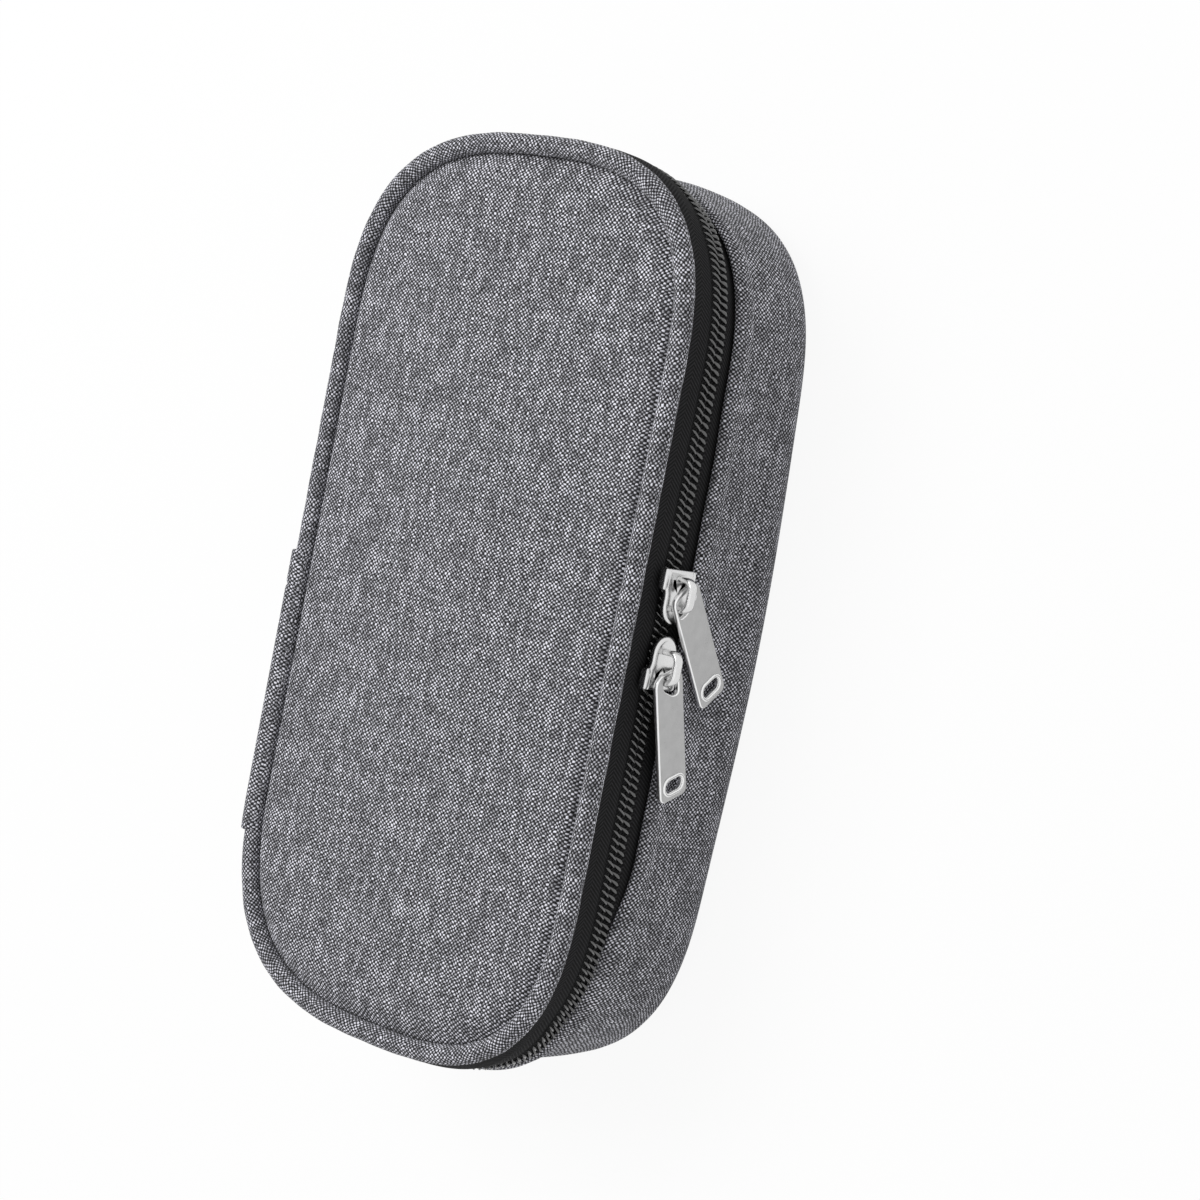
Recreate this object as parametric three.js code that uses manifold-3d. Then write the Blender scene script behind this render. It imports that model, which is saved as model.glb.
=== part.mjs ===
// Soft zipped cooling case for insulin pens, closed and lying on its back.
// Millimetres. +Z runs up through the lid, +Y along the case, +X from the fabric spine to the zip side.
// The origin is the middle of the back panel's underside.
import * as THREE from 'three';
import { mergeVertices } from 'three/addons/utils/BufferGeometryUtils.js';
import Module from 'manifold-3d';

const wasm = await Module();
wasm.setup();

// Whole case
const caseLength = 200;
const caseWidth = 98;
const caseHeight = 50;
const endLength = 47.3; // how far each rounded end runs back from its tip
const endFullness = 2.8; // 2 is an ellipse, more is squarer
const seamGap = 0.3; // clearance between pieces that lie on each other
const capSteps = 18; // facets round each end
const fineCapSteps = 144; // the same where teeth are spaced along it

// Base: cloth shell, foam and foil round the back
const backRound = 7.5;
const clothThick = 1;
const foamThick = 3;
const foilThick = 0.5;
const roundSteps = 4;
const gussetTop = 29.2;
const gussetLipInset = 0.6;
const baseFoamTop = 26.4;
const linerFlareHeight = 2;

// Zip, parted at one height all round
const zipHeight = 34.75;
const coilRow = 2.75; // height of one coil row
const coilInset = 1.6;
const coilDepth = 1.8;
const toothPitch = 5;
const toothReach = 0.5; // how far a tooth crosses the parting line
const toothProud = 0.4; // how far a tooth stands out of its row
const tapeInset = 1.9;
const tapeThick = 0.7;
const baseTapeTuck = 2; // tape behind the gusset's lip

// Lid
const lidCrown = 1.6;
const lidClothEdge = 0.8;
const pipingDiameter = 4.5;
const pipingProud = 0.9; // piping above the edge of the lid cloth
const pipingSides = 8;
const lidFoamThick = 2.6;
const crownRings = [1, 0.8, 0.5, 0.2];

// Fabric spine that hinges the lid
const spineTopY = 1;
const spineBottomY = -64;
const spineOverPiping = 1.2; // spine's upper edge above the middle of the piping
const spineFoot = 25.8;
const spineBulge = 3.1;
const spineThick = 1.1;
const spineSteps = 6;
const bulgeLift = 3; // 1 puts the bulge at half height, more moves it up to the piping

// Organizer: two bound leaves, each with a net pocket
const leafInset = 8.5;
const bindingWidth = 6.5;
const bindingTape = 0.6;
const leafThick = 0.8;
const netThick = 0.5;
const netPitch = 17;
const netStrand = 3;
const netRings = [1, 0.85, 0.5];
const bandY = 18; // where the elastic band crosses the leaf
const bandWidth = 8;
const bandThick = 0.8;
const bandSteps = 12;
const netUnderBand = 7; // how far the net runs in under the band
const swellFullness = 6; // how squarely the pocket swells over its pack
const foldLength = 90;
const foldThick = 0.8;
const foldBow = 1.6;

// Gel packs: clearance to the case's side and end, and thickness
const packFullness = 3;
const packEnd = 26;
const basePackSide = 20;
const basePackEnd = 24;
const basePackThick = 4.5;
const pocketPackSide = 21;
const pocketPackEnd = 26;
const pocketPackThick = 3.8;
const lidPackSide = 18;
const lidPackEnd = 25;
const lidPackThick = 3.8;
const pocketPackY = 4;
const packRings = [1, 0.85, 0.5];
const packSteps = 8;
const packSwell = 4; // how flat the pillow is across its middle
const packSeam = 0.4;

// Liquid-crystal thermometer in a rubber frame
const thermometerSpare = 7.4; // binding to the thermometer's far end
const thermometerWidth = 12;
const thermometerThick = 1.8;
const thermometerCorner = 1.5;
const thermometerRim = 2.2;
const cardThick = 0.8;

// Zip sliders and pulls
const sliderLength = 11.6;
const sliderPlate = 1.3;
const sliderStandoff = 0.7; // inset of the plate's underside
const wingWidth = 10.4;
const wingLength = 4.6;
const noseWidth = 7.6;
const lipDepth = 0.6;
const lipWidth = 0.8;
const slidersMeetY = 2.6;
const slidersApart = 2.4;
const bridgeNose = 3; // from the slider's middle to the bridge's end at the nose
const bridgeWing = 4.4; // and to its end at the wings
const bridgeRise = 3.7;
const bridgeBand = 1.1;
const bridgeCorner = 2.3;
const archSteps = 5;
const bridgeWidth = 1.6;
const pivotHeight = 1.3; // pull's axis above the slider plate
const upperPullSeat = 1.6; // pull's axis from the slider's middle, towards the wings
const lowerPullSeat = 2;
const pullLength = 28.6;
const pullHeadWidth = 8.8;
const pullEndWidth = 8.8;
const pullThick = 1.2;
const pullBar = 0.5; // from the axis to the head's end
const pullEyeStart = 0.5;
const pullEyeEnd = 5.6;
const pullEyeWidth = 7.2;
const pullCorner = 1.6;
const pullArcSteps = 4;
const pullSlotWidth = 5.2;
const pullSlotHeight = 2.6;
const pullSlotMargin = 1.9; // from the slot to the pull's end
const upperPullYaw = 38; // degrees from the zip line towards the back
const lowerPullYaw = 21;

const cloth = new THREE.MeshStandardMaterial({ color: 0x77777a, roughness: 0.95 });
const blackTape = new THREE.MeshStandardMaterial({ color: 0x17171a, roughness: 0.85 });
const blackCoil = new THREE.MeshStandardMaterial({ color: 0x101012, roughness: 0.45 });
const foam = new THREE.MeshStandardMaterial({ color: 0xd8d8d4, roughness: 0.95 });
const foil = new THREE.MeshStandardMaterial({ color: 0xc9ccd0, roughness: 0.3, metalness: 0.9 });
const lining = new THREE.MeshStandardMaterial({ color: 0x8d97ae, roughness: 0.8 });
const netting = new THREE.MeshStandardMaterial({ color: 0x8f9196, roughness: 0.8 });
const elastic = new THREE.MeshStandardMaterial({ color: 0xa9abb0, roughness: 0.85 });
const gelFilm = new THREE.MeshStandardMaterial({ color: 0x1b2a5c, roughness: 0.35 });
const rubber = new THREE.MeshStandardMaterial({ color: 0x1d1d1f, roughness: 0.7 });
const card = new THREE.MeshStandardMaterial({ color: 0xe9e9e6, roughness: 0.5 });
const satinMetal = new THREE.MeshStandardMaterial({ color: 0xc4c5c7, roughness: 0.3, metalness: 1 });

const straightShare = 0.2; // part of each half turn that runs along a straight side

// Closed outline seen from above: straight sides and superellipse ends, counterclockwise.
class RoundEndedOutline extends THREE.Curve {
  constructor(width, length, end, fullness) {
    super();
    this.half = width / 2;
    this.end = end;
    this.straight = length / 2 - end;
    this.fullness = fullness;
  }

  getPoint(t, target = new THREE.Vector2()) {
    const side = t % 1 < 0.5 ? 1 : -1;
    const part = (t % 0.5) / 0.5;
    if (part < straightShare) {
      const y = (2 * part / straightShare - 1) * this.straight;
      return target.set(side * this.half, side * y);
    }
    const angle = Math.PI * (part - straightShare) / (1 - straightShare);
    const across = Math.abs(Math.cos(angle) / this.half) ** this.fullness;
    const along = Math.abs(Math.sin(angle) / this.end) ** this.fullness;
    const radius = (across + along) ** (-1 / this.fullness);
    return target.set(
      side * radius * Math.cos(angle),
      side * (this.straight + radius * Math.sin(angle)),
    );
  }

  // Outward normal from the outline's gradient
  normal(p) {
    const power = this.fullness - 1;
    const past = Math.max(Math.abs(p.y) - this.straight, 0) / this.end;
    const across = Math.sign(p.x) * Math.abs(p.x / this.half) ** power / this.half;
    const along = Math.sign(p.y) * past ** power / this.end;
    return new THREE.Vector2(across, along).normalize();
  }

  station(p) {
    return { point: p, normal: this.normal(p) };
  }

  // One station at each end of the straights and at even angles round the ends
  loop(steps = capSteps) {
    const list = [];
    for (const side of [1, -1]) {
      list.push(new THREE.Vector2(side * this.half, -side * this.straight));
      for (let i = 0; i < steps; i++) {
        const part = straightShare + (1 - straightShare) * i / steps;
        list.push(this.getPoint((side > 0 ? part : part + 1) / 2));
      }
    }
    return list.map((p) => this.station(p));
  }

  // Point of the spine side (-X) at a given height along the case
  spinePoint(y) {
    const past = Math.max(Math.abs(y) - this.straight, 0) / this.end;
    return new THREE.Vector2(-this.half * (1 - past ** this.fullness) ** (1 / this.fullness), y);
  }

  // 0 on the middle line, 1 on the outline moved in by inset
  gauge(x, y, inset) {
    const across = Math.abs(x) / (this.half - inset);
    const along = Math.max(Math.abs(y) - this.straight, 0) / (this.end - inset);
    return (across ** this.fullness + along ** this.fullness) ** (1 / this.fullness);
  }
}

const rim = new RoundEndedOutline(caseWidth, caseLength, endLength, endFullness);
const rimLoop = rim.loop();

const placed = ({ point, normal }, [inset, z, scale = 1]) => [
  (point.x - normal.x * inset) * scale,
  (point.y - normal.y * inset) * scale,
  z,
];

// Builds a closed geometry, turned inside out if its volume comes out negative.
function closedGeometry(positions, faces) {
  const geometry = new THREE.BufferGeometry();
  geometry.setAttribute('position', new THREE.Float32BufferAttribute(positions.flat(), 3));
  let volume = 0;
  const [a, b, c] = [new THREE.Vector3(), new THREE.Vector3(), new THREE.Vector3()];
  for (const face of faces) {
    [a, b, c].forEach((v, k) => v.fromArray(positions[face[k]]));
    volume += a.dot(b.cross(c));
  }
  geometry.setIndex(faces.map((f) => (volume < 0 ? [f[0], f[2], f[1]] : f)).flat());
  return geometry;
}

// Carries a closed profile of [inset, z] round the given stations; open runs get flat ends.
function sweep(stations, profileAt, closed) {
  const count = profileAt(0).length;
  const positions = stations.flatMap((s, i) => profileAt(i).map((p) => placed(s, p)));
  const faces = [];
  const last = closed ? stations.length : stations.length - 1;
  for (let i = 0; i < last; i++) {
    const next = (i + 1) % stations.length;
    for (let k = 0; k < count; k++) {
      const [p, q] = [i * count + k, i * count + (k + 1) % count];
      const [r, s] = [next * count + k, next * count + (k + 1) % count];
      faces.push([p, q, s], [p, s, r]);
    }
  }
  if (!closed) {
    const flat = (i) => profileAt(i).map(([inset, z]) => new THREE.Vector2(inset, z));
    const lastStart = (stations.length - 1) * count;
    for (const f of THREE.ShapeUtils.triangulateShape(flat(0), [])) {
      faces.push(windingLike(flat(0), f));
    }
    for (const f of THREE.ShapeUtils.triangulateShape(flat(stations.length - 1), [])) {
      faces.push(windingLike(flat(stations.length - 1), f).map((k) => lastStart + k).reverse());
    }
  }
  return closedGeometry(positions, faces);
}

// A cap's triangle, turned against the order in which the profile's sides run
function windingLike(points, face) {
  const forward = THREE.ShapeUtils.area(points) > 0;
  const area = THREE.ShapeUtils.area(face.map((k) => points[k]));
  return (area > 0) === forward ? [face[0], face[2], face[1]] : face;
}

const hoop = (profile) => sweep(rimLoop, () => profile, true);

// Rings of [inset, z, scale] round a loop, closed over the middle at both ends
function dish(loop, profile) {
  const count = loop.length;
  const positions = profile.flatMap((p) => loop.map((s) => placed(s, p)));
  const faces = [];
  for (let k = 0; k + 1 < profile.length; k++) {
    for (let i = 0; i < count; i++) {
      const next = (i + 1) % count;
      const [p, q] = [k * count + i, k * count + next];
      faces.push([p, q, q + count], [p, q + count, p + count]);
    }
  }
  const first = positions.push([0, 0, profile[0].at(3) ?? profile[0][1]]) - 1;
  const final = positions.push([0, 0, profile.at(-1).at(3) ?? profile.at(-1)[1]]) - 1;
  const lastStart = (profile.length - 1) * count;
  for (let i = 0; i < count; i++) {
    const next = (i + 1) % count;
    faces.push([first, next, i], [final, lastStart + i, lastStart + next]);
  }
  return closedGeometry(positions, faces);
}

function slab(points, low, high) {
  const depth = high - low;
  const geometry = new THREE.ExtrudeGeometry(new THREE.Shape(points), { depth, bevelEnabled: false });
  return geometry.translate(0, 0, low);
}

const insetPoints = (inset, loop = rimLoop) => loop.map((s) => {
  const [x, y] = placed(s, [inset, 0]);
  return new THREE.Vector2(x, y);
});

function roundedRectangle(width, height, radius, path = new THREE.Shape()) {
  const [x, y] = [width / 2, height / 2];
  path.moveTo(x, -y + radius);
  path.lineTo(x, y - radius);
  path.absarc(x - radius, y - radius, radius, 0, Math.PI / 2);
  path.absarc(-x + radius, y - radius, radius, Math.PI / 2, Math.PI);
  path.absarc(-x + radius, -y + radius, radius, Math.PI, 1.5 * Math.PI);
  path.absarc(x - radius, -y + radius, radius, 1.5 * Math.PI, 2 * Math.PI);
  return path;
}

function toSolid(geometry) {
  geometry.deleteAttribute('normal');
  geometry.deleteAttribute('uv');
  const merged = mergeVertices(geometry, 1e-4);
  return new wasm.Manifold(new wasm.Mesh({
    numProp: 3,
    vertProperties: new Float32Array(merged.attributes.position.array),
    triVerts: new Uint32Array(merged.index.array),
  }));
}

function fromSolid(solid) {
  const { vertProperties, triVerts } = solid.getMesh();
  const geometry = new THREE.BufferGeometry();
  geometry.setAttribute('position', new THREE.BufferAttribute(vertProperties, 3));
  geometry.setIndex(new THREE.BufferAttribute(triVerts, 1));
  return geometry;
}

const group = new THREE.Group();

function piece(name, geometry, material, parent = group) {
  const mesh = new THREE.Mesh(geometry, material);
  mesh.name = name;
  parent.add(mesh);
  return mesh;
}

// Base shell: layers that share the centre of the rounded back edge
function roundedBack(offset) {
  const radius = backRound - offset;
  return Array.from({ length: roundSteps + 1 }, (_, k) => {
    const angle = Math.PI / 2 * (1 - k / roundSteps);
    return [backRound - radius * Math.cos(angle), backRound - radius * Math.sin(angle)];
  });
}

const foamOffset = clothThick + seamGap;
const foilOffset = foamOffset + foamThick + seamGap;
const linerInside = foilOffset + foilThick;
const zipBaseTop = zipHeight - seamGap / 2;
const zipLidUnder = zipHeight + seamGap / 2;
const baseTapeTop = zipHeight - coilRow - seamGap;
const tapeInside = tapeInset + tapeThick;
const linerRimInset = tapeInside + seamGap;

piece('back_panel', slab(insetPoints(backRound + seamGap), 0, clothThick), cloth);
piece('side_gusset', hoop([
  ...roundedBack(0),
  [0, baseFoamTop],
  [gussetLipInset, gussetTop],
  [gussetLipInset + clothThick, gussetTop],
  [clothThick, baseFoamTop],
  ...roundedBack(clothThick).reverse(),
]), cloth);
piece('base_foam', dish(rimLoop, [
  ...roundedBack(foamOffset),
  [foamOffset, baseFoamTop],
  [foamOffset + foamThick, baseFoamTop],
  ...roundedBack(foamOffset + foamThick).reverse(),
]), foam);

const linerBend = baseFoamTop + seamGap + linerFlareHeight;
piece('base_liner', dish(rimLoop, [
  ...roundedBack(foilOffset),
  [foilOffset, baseFoamTop + seamGap],
  [linerRimInset, linerBend],
  [linerRimInset, baseTapeTop],
  [linerRimInset + foilThick, baseTapeTop],
  [linerRimInset + foilThick, linerBend],
  [linerInside, baseFoamTop + seamGap],
  ...roundedBack(linerInside).reverse(),
]), foil);

// Zip: tapes and coil rows from one end of the spine round to the other
const zipStart = rim.station(rim.spinePoint(spineBottomY - seamGap));
const zipEnd = rim.station(rim.spinePoint(spineTopY + seamGap));

// The stations of a loop that lie off the spine, in order from its lower end
function offSpine(loop) {
  const spineSide = ({ point }) => point.x < 0;
  const after = loop.findIndex((s) => spineSide(s) && s.point.y < zipStart.point.y);
  const turned = [...loop.slice(after), ...loop.slice(0, after)];
  const clear = turned.filter((s) => !spineSide(s)
    || s.point.y > zipEnd.point.y || s.point.y < zipStart.point.y);
  return [zipStart, ...clear, zipEnd];
}

const zipRun = offSpine(rimLoop);

const tapeProfile = (low, high) => [
  [tapeInset, low],
  [tapeInset, high],
  [tapeInside, high],
  [tapeInside, low],
];
const tape = (low, high) => sweep(zipRun, () => tapeProfile(low, high), false);
const pipingRadius = pipingDiameter / 2;
const lidEdgeTop = caseHeight - lidCrown;
const pipingHeight = lidEdgeTop + pipingProud - pipingRadius;
const lidTapeTop = pipingHeight - pipingRadius - seamGap;
const lidTapeUnder = zipHeight + coilRow + seamGap;
piece('base_zip_tape', tape(gussetTop - baseTapeTuck, baseTapeTop), blackTape);
piece('lid_zip_tape', tape(lidTapeUnder, lidTapeTop), blackTape);

// Teeth: the two rows share a zigzag parting line, and each tooth stands out where it crosses
function evenStations(pitch) {
  const dense = new THREE.CurvePath();
  const line = offSpine(rim.loop(fineCapSteps)).map((s) => s.point);
  for (let i = 0; i + 1 < line.length; i++) dense.add(new THREE.LineCurve(line[i], line[i + 1]));
  const steps = 2 * Math.round(dense.getLength() / pitch);
  return Array.from({ length: steps + 1 }, (_, i) => rim.station(dense.getPoint(i / steps)));
}

const toothStations = evenStations(toothPitch);
const coilInside = coilInset + coilDepth;

function coilProfile(i, near, far, toothHere) {
  const edge = near + (i % 2 ? toothReach : -toothReach);
  const outer = coilInset + (toothHere ? 0 : toothProud);
  return [[outer, edge], [outer, far], [coilInside, far], [coilInside, edge]];
}

const baseRow = (i) => coilProfile(i, zipBaseTop, zipHeight - coilRow, i % 2 === 1);
const lidRow = (i) => coilProfile(i, zipLidUnder, zipHeight + coilRow, i % 2 === 0);
piece('base_zip_coil', sweep(toothStations, baseRow, false), blackCoil);
piece('lid_zip_coil', sweep(toothStations, lidRow, false), blackCoil);

// Lid: crowned cloth, rope piping round its edge, foam and a foil tray
const lidClothInset = pipingDiameter + seamGap;
const lidClothUnder = lidEdgeTop - lidClothEdge;
const lidFoamUnder = lidClothUnder - seamGap - lidFoamThick;
const lidLinerTop = lidFoamUnder - seamGap;
const lidLinerUnder = lidLinerTop - foilThick;
const crownHeight = (share) => lidEdgeTop + lidCrown * (1 - share ** 2);
piece('lid_panel', dish(rimLoop, [
  [lidClothInset, lidClothUnder],
  ...crownRings.map((share) => [lidClothInset, crownHeight(share), share, caseHeight]),
]), cloth);
piece('lid_piping', hoop(Array.from({ length: pipingSides }, (_, k) => {
  const angle = 2 * Math.PI * (k + 0.5) / pipingSides;
  const inset = pipingRadius - pipingRadius * Math.cos(angle);
  return [inset, pipingHeight + pipingRadius * Math.sin(angle)];
})), cloth);
piece('lid_foam', slab(insetPoints(lidClothInset), lidFoamUnder, lidClothUnder - seamGap), foam);
piece('lid_liner', dish(rimLoop, [
  [linerRimInset, lidLinerTop],
  [linerRimInset, lidTapeUnder],
  [linerRimInset + foilThick, lidTapeUnder],
  [linerRimInset + foilThick, lidLinerUnder],
]), foil);

// Fabric spine, in one half on the base and one on the lid, bowed out most beside the piping
const spineRise = pipingHeight + spineOverPiping;
function spineProfile(low, high) {
  const bow = (z) => {
    const share = (z - spineFoot) / (spineRise - spineFoot);
    const proud = seamGap + spineThick;
    return -proud - (spineBulge - proud) * Math.sin(Math.PI * share ** bulgeLift);
  };
  const step = (high - low) / spineSteps;
  const heights = Array.from({ length: spineSteps + 1 }, (_, k) => low + step * k);
  return [
    ...heights.map((z) => [bow(z), z]),
    ...heights.reverse().map((z) => [bow(z) + spineThick, z]),
  ];
}

const spineRun = Array.from({ length: 2 * spineSteps + 1 }, (_, k) => {
  const y = spineTopY + (spineBottomY - spineTopY) * k / (2 * spineSteps);
  return rim.station(rim.spinePoint(y));
});
piece('base_spine', sweep(spineRun, () => spineProfile(spineFoot, zipBaseTop), false), cloth);
piece('lid_spine', sweep(spineRun, () => spineProfile(zipLidUnder, spineRise), false), cloth);

// Gel packs: welded film pillows
function gelPack(name, side, end, thick, under, y = 0) {
  const [width, length] = [caseWidth - 2 * side, caseLength - 2 * end];
  const outline = new RoundEndedOutline(width, length, packEnd, packFullness);
  const middle = under + thick / 2;
  const swell = (share) => packSeam / 2 + (thick - packSeam) / 2 * (1 - share ** packSwell);
  const ring = (share, sign) => [0, middle + sign * swell(share), share, middle + sign * thick / 2];
  const lower = [...packRings].reverse().map((share) => ring(share, -1));
  const upper = packRings.map((share) => ring(share, 1));
  const pillow = dish(outline.loop(packSteps), [...lower, ...upper]);
  return piece(name, pillow.translate(0, y, 0), gelFilm);
}

const basePackUnder = linerInside + seamGap;
gelPack('base_ice_pack', basePackSide, basePackEnd, basePackThick, basePackUnder);
const lidPackUnder = lidLinerUnder - seamGap - lidPackThick;
gelPack('lid_ice_pack', lidPackSide, lidPackEnd, lidPackThick, lidPackUnder);

// Organizer leaves: cloth leaf and net held in the slot of a folded binding tape
const slotHeight = leafThick + netThick + 3 * seamGap;
const leafStack = slotHeight + 2 * bindingTape;
const bindingInside = leafInset + bindingWidth;
const slotInset = leafInset + bindingTape;
const clothInset = slotInset + seamGap;
const pocketHalf = caseWidth / 2 - bindingInside - seamGap; // between the binding's inner edges

const binding = (under) => hoop([
  [leafInset, under],
  [leafInset, under + leafStack],
  [bindingInside, under + leafStack],
  [bindingInside, under + leafStack - bindingTape],
  [slotInset, under + leafStack - bindingTape],
  [slotInset, under + bindingTape],
  [bindingInside, under + bindingTape],
  [bindingInside, under],
]);

// Net: a sheet that swells over the pack, cut to diamond gaps, with its open edge under the band
function net(low, rise) {
  const held = [clothInset, 0];
  const swelling = netRings.map((share) => [bindingInside + seamGap, 0, share]);
  const under = [...[...swelling].reverse(), held];
  const over = [held, ...swelling].map(([inset, z, share = 1]) => [inset, z + netThick, share]);
  const swollen = dish(rimLoop, [...under, ...over]);
  const place = swollen.attributes.position;
  for (let i = 0; i < place.count; i++) {
    place.setZ(i, place.getZ(i) + rise * pocketSwell(place.getX(i), place.getY(i)));
  }
  const cutLow = -netThick;
  const cutHigh = rise + 2 * netThick;
  const openEdge = bandY - bandWidth / 2 + netUnderBand;
  const kept = slab([
    new THREE.Vector2(-caseWidth, -caseLength),
    new THREE.Vector2(caseWidth, -caseLength),
    new THREE.Vector2(caseWidth, openEdge),
    new THREE.Vector2(-caseWidth, openEdge),
  ], cutLow, cutHigh);
  let sheet = toSolid(swollen).intersect(toSolid(kept));
  const reach = (netPitch - netStrand) / 2;
  const rows = Math.ceil(caseLength / netPitch);
  const columns = Math.ceil(caseWidth / 2 / netPitch);
  for (let row = -rows; row <= rows; row++) {
    for (let column = -columns; column <= columns; column++) {
      const x = (column + (row % 2 ? 0.5 : 0)) * netPitch;
      const y = row * netPitch / 2;
      const inside = rim.gauge(Math.abs(x) + reach, Math.abs(y) + reach, bindingInside) < 1;
      if (!inside || y + reach > bandY - bandWidth / 2) continue;
      sheet = sheet.subtract(toSolid(slab([
        new THREE.Vector2(x + reach, y),
        new THREE.Vector2(x, y + reach),
        new THREE.Vector2(x - reach, y),
        new THREE.Vector2(x, y - reach),
      ], cutLow, cutHigh)));
    }
  }
  return fromSolid(sheet).translate(0, 0, low);
}

// 1 over the middle of the pocket, 0 where the binding holds it
function pocketSwell(x, y) {
  return Math.max(0, 1 - rim.gauge(x, y, bindingInside + seamGap) ** swellFullness);
}

// Elastic band: a strip across the leaf that follows the pocket
function elasticBand(low, rise) {
  const half = pocketHalf;
  const heightAt = (x) => low + rise * pocketSwell(x, bandY);
  const xs = Array.from({ length: bandSteps + 1 }, (_, k) => half * (2 * k / bandSteps - 1));
  const side = new THREE.Shape([
    ...xs.map((x) => new THREE.Vector2(x, heightAt(x))),
    ...xs.reverse().map((x) => new THREE.Vector2(x, heightAt(x) + bandThick)),
  ]);
  const geometry = new THREE.ExtrudeGeometry(side, { depth: bandWidth, bevelEnabled: false });
  return geometry.rotateX(Math.PI / 2).translate(0, bandY + bandWidth / 2, 0);
}

const lowerClothUnder = basePackUnder + basePackThick + seamGap;
const lowerLeafUnder = lowerClothUnder - bindingTape - seamGap;
const lowerNetUnder = lowerClothUnder + leafThick + seamGap;
const pocketRise = pocketPackThick + 2 * seamGap;
const leaf = (under) => slab(insetPoints(clothInset), under, under + leafThick);
piece('lower_leaf', leaf(lowerClothUnder), cloth);
piece('lower_leaf_binding', binding(lowerLeafUnder), blackTape);
piece('lower_mesh_pocket', net(lowerNetUnder, pocketRise), netting);
piece('lower_elastic_band', elasticBand(lowerNetUnder + netThick + seamGap, pocketRise), elastic);
gelPack(
  'pocket_ice_pack',
  pocketPackSide,
  pocketPackEnd,
  pocketPackThick,
  lowerNetUnder,
  pocketPackY,
);

const upperLeafUnder = lidPackUnder - seamGap - leafStack;
const upperNetUnder = upperLeafUnder + bindingTape + seamGap;
const upperClothUnder = upperNetUnder + netThick + seamGap;
piece('upper_leaf', leaf(upperClothUnder), lining);
piece('upper_leaf_binding', binding(upperLeafUnder), blackTape);
piece('upper_mesh_pocket', net(upperNetUnder, 0), netting);
piece('upper_elastic_band', elasticBand(upperNetUnder - seamGap - bandThick, 0), elastic);

// Fold of lining cloth that joins the leaves at the spine side, bowed towards the wall
const foldUnder = lowerLeafUnder + leafStack + seamGap;
const foldTop = upperLeafUnder - seamGap;
const foldInset = leafInset + foldThick;
const foldSteps = 6;
const foldLine = (shift) => Array.from({ length: foldSteps + 1 }, (_, k) => {
  const share = k / foldSteps;
  const x = -caseWidth / 2 + foldInset - foldBow * Math.sin(Math.PI * share) + shift;
  return new THREE.Vector2(x, foldUnder + (foldTop - foldUnder) * share);
});
const foldSide = new THREE.Shape([...foldLine(0), ...foldLine(foldThick).reverse()]);
piece('organizer_fold', new THREE.ExtrudeGeometry(foldSide, { depth: foldLength, bevelEnabled: false })
  .rotateX(Math.PI / 2).translate(0, foldLength / 2, 0), lining);

// Thermometer: a card in a rubber frame, under the net beside the band
const thermometerY = bandY - bandWidth / 2 - seamGap - thermometerWidth / 2;
const thermometerLength = 2 * pocketHalf - thermometerSpare;
const thermometerX = pocketHalf - thermometerLength / 2;
const thermometerUnder = upperNetUnder - seamGap - thermometerThick;
const windowLength = thermometerLength - 2 * thermometerRim;
const windowWidth = thermometerWidth - 2 * thermometerRim;
const windowCorner = thermometerCorner / 2;
const frameShape = roundedRectangle(thermometerLength, thermometerWidth, thermometerCorner);
frameShape.holes.push(roundedRectangle(windowLength, windowWidth, windowCorner, new THREE.Path()));
const thermometer = new THREE.Group();
thermometer.position.set(thermometerX, thermometerY, thermometerUnder);
group.add(thermometer);
const frameExtrude = { depth: thermometerThick, bevelEnabled: false, curveSegments: 3 };
piece('thermometer_frame', new THREE.ExtrudeGeometry(frameShape, frameExtrude), rubber, thermometer);
const cardShape = roundedRectangle(windowLength - 2 * seamGap, windowWidth - 2 * seamGap, windowCorner);
const cardExtrude = { depth: cardThick, bevelEnabled: false, curveSegments: 3 };
const cardSolid = new THREE.ExtrudeGeometry(cardShape, cardExtrude);
piece('thermometer_card', cardSolid.translate(0, 0, thermometerThick - cardThick), card, thermometer);

// One edge of the bridge, seen from the side: up from the plate at the wings, over and down at the nose
function archShape(inset) {
  const [wing, nose, rise] = [bridgeWing - inset, bridgeNose - inset, bridgeRise - inset];
  const corner = bridgeCorner - inset;
  const edge = new THREE.Path();
  edge.moveTo(wing, -sliderPlate / 2);
  edge.lineTo(wing, rise - corner);
  edge.absarc(wing - corner, rise - corner, corner, 0, Math.PI / 2);
  edge.absarc(-nose + corner, rise - corner, corner, Math.PI / 2, Math.PI);
  edge.lineTo(-nose, -sliderPlate / 2);
  return edge;
}

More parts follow.
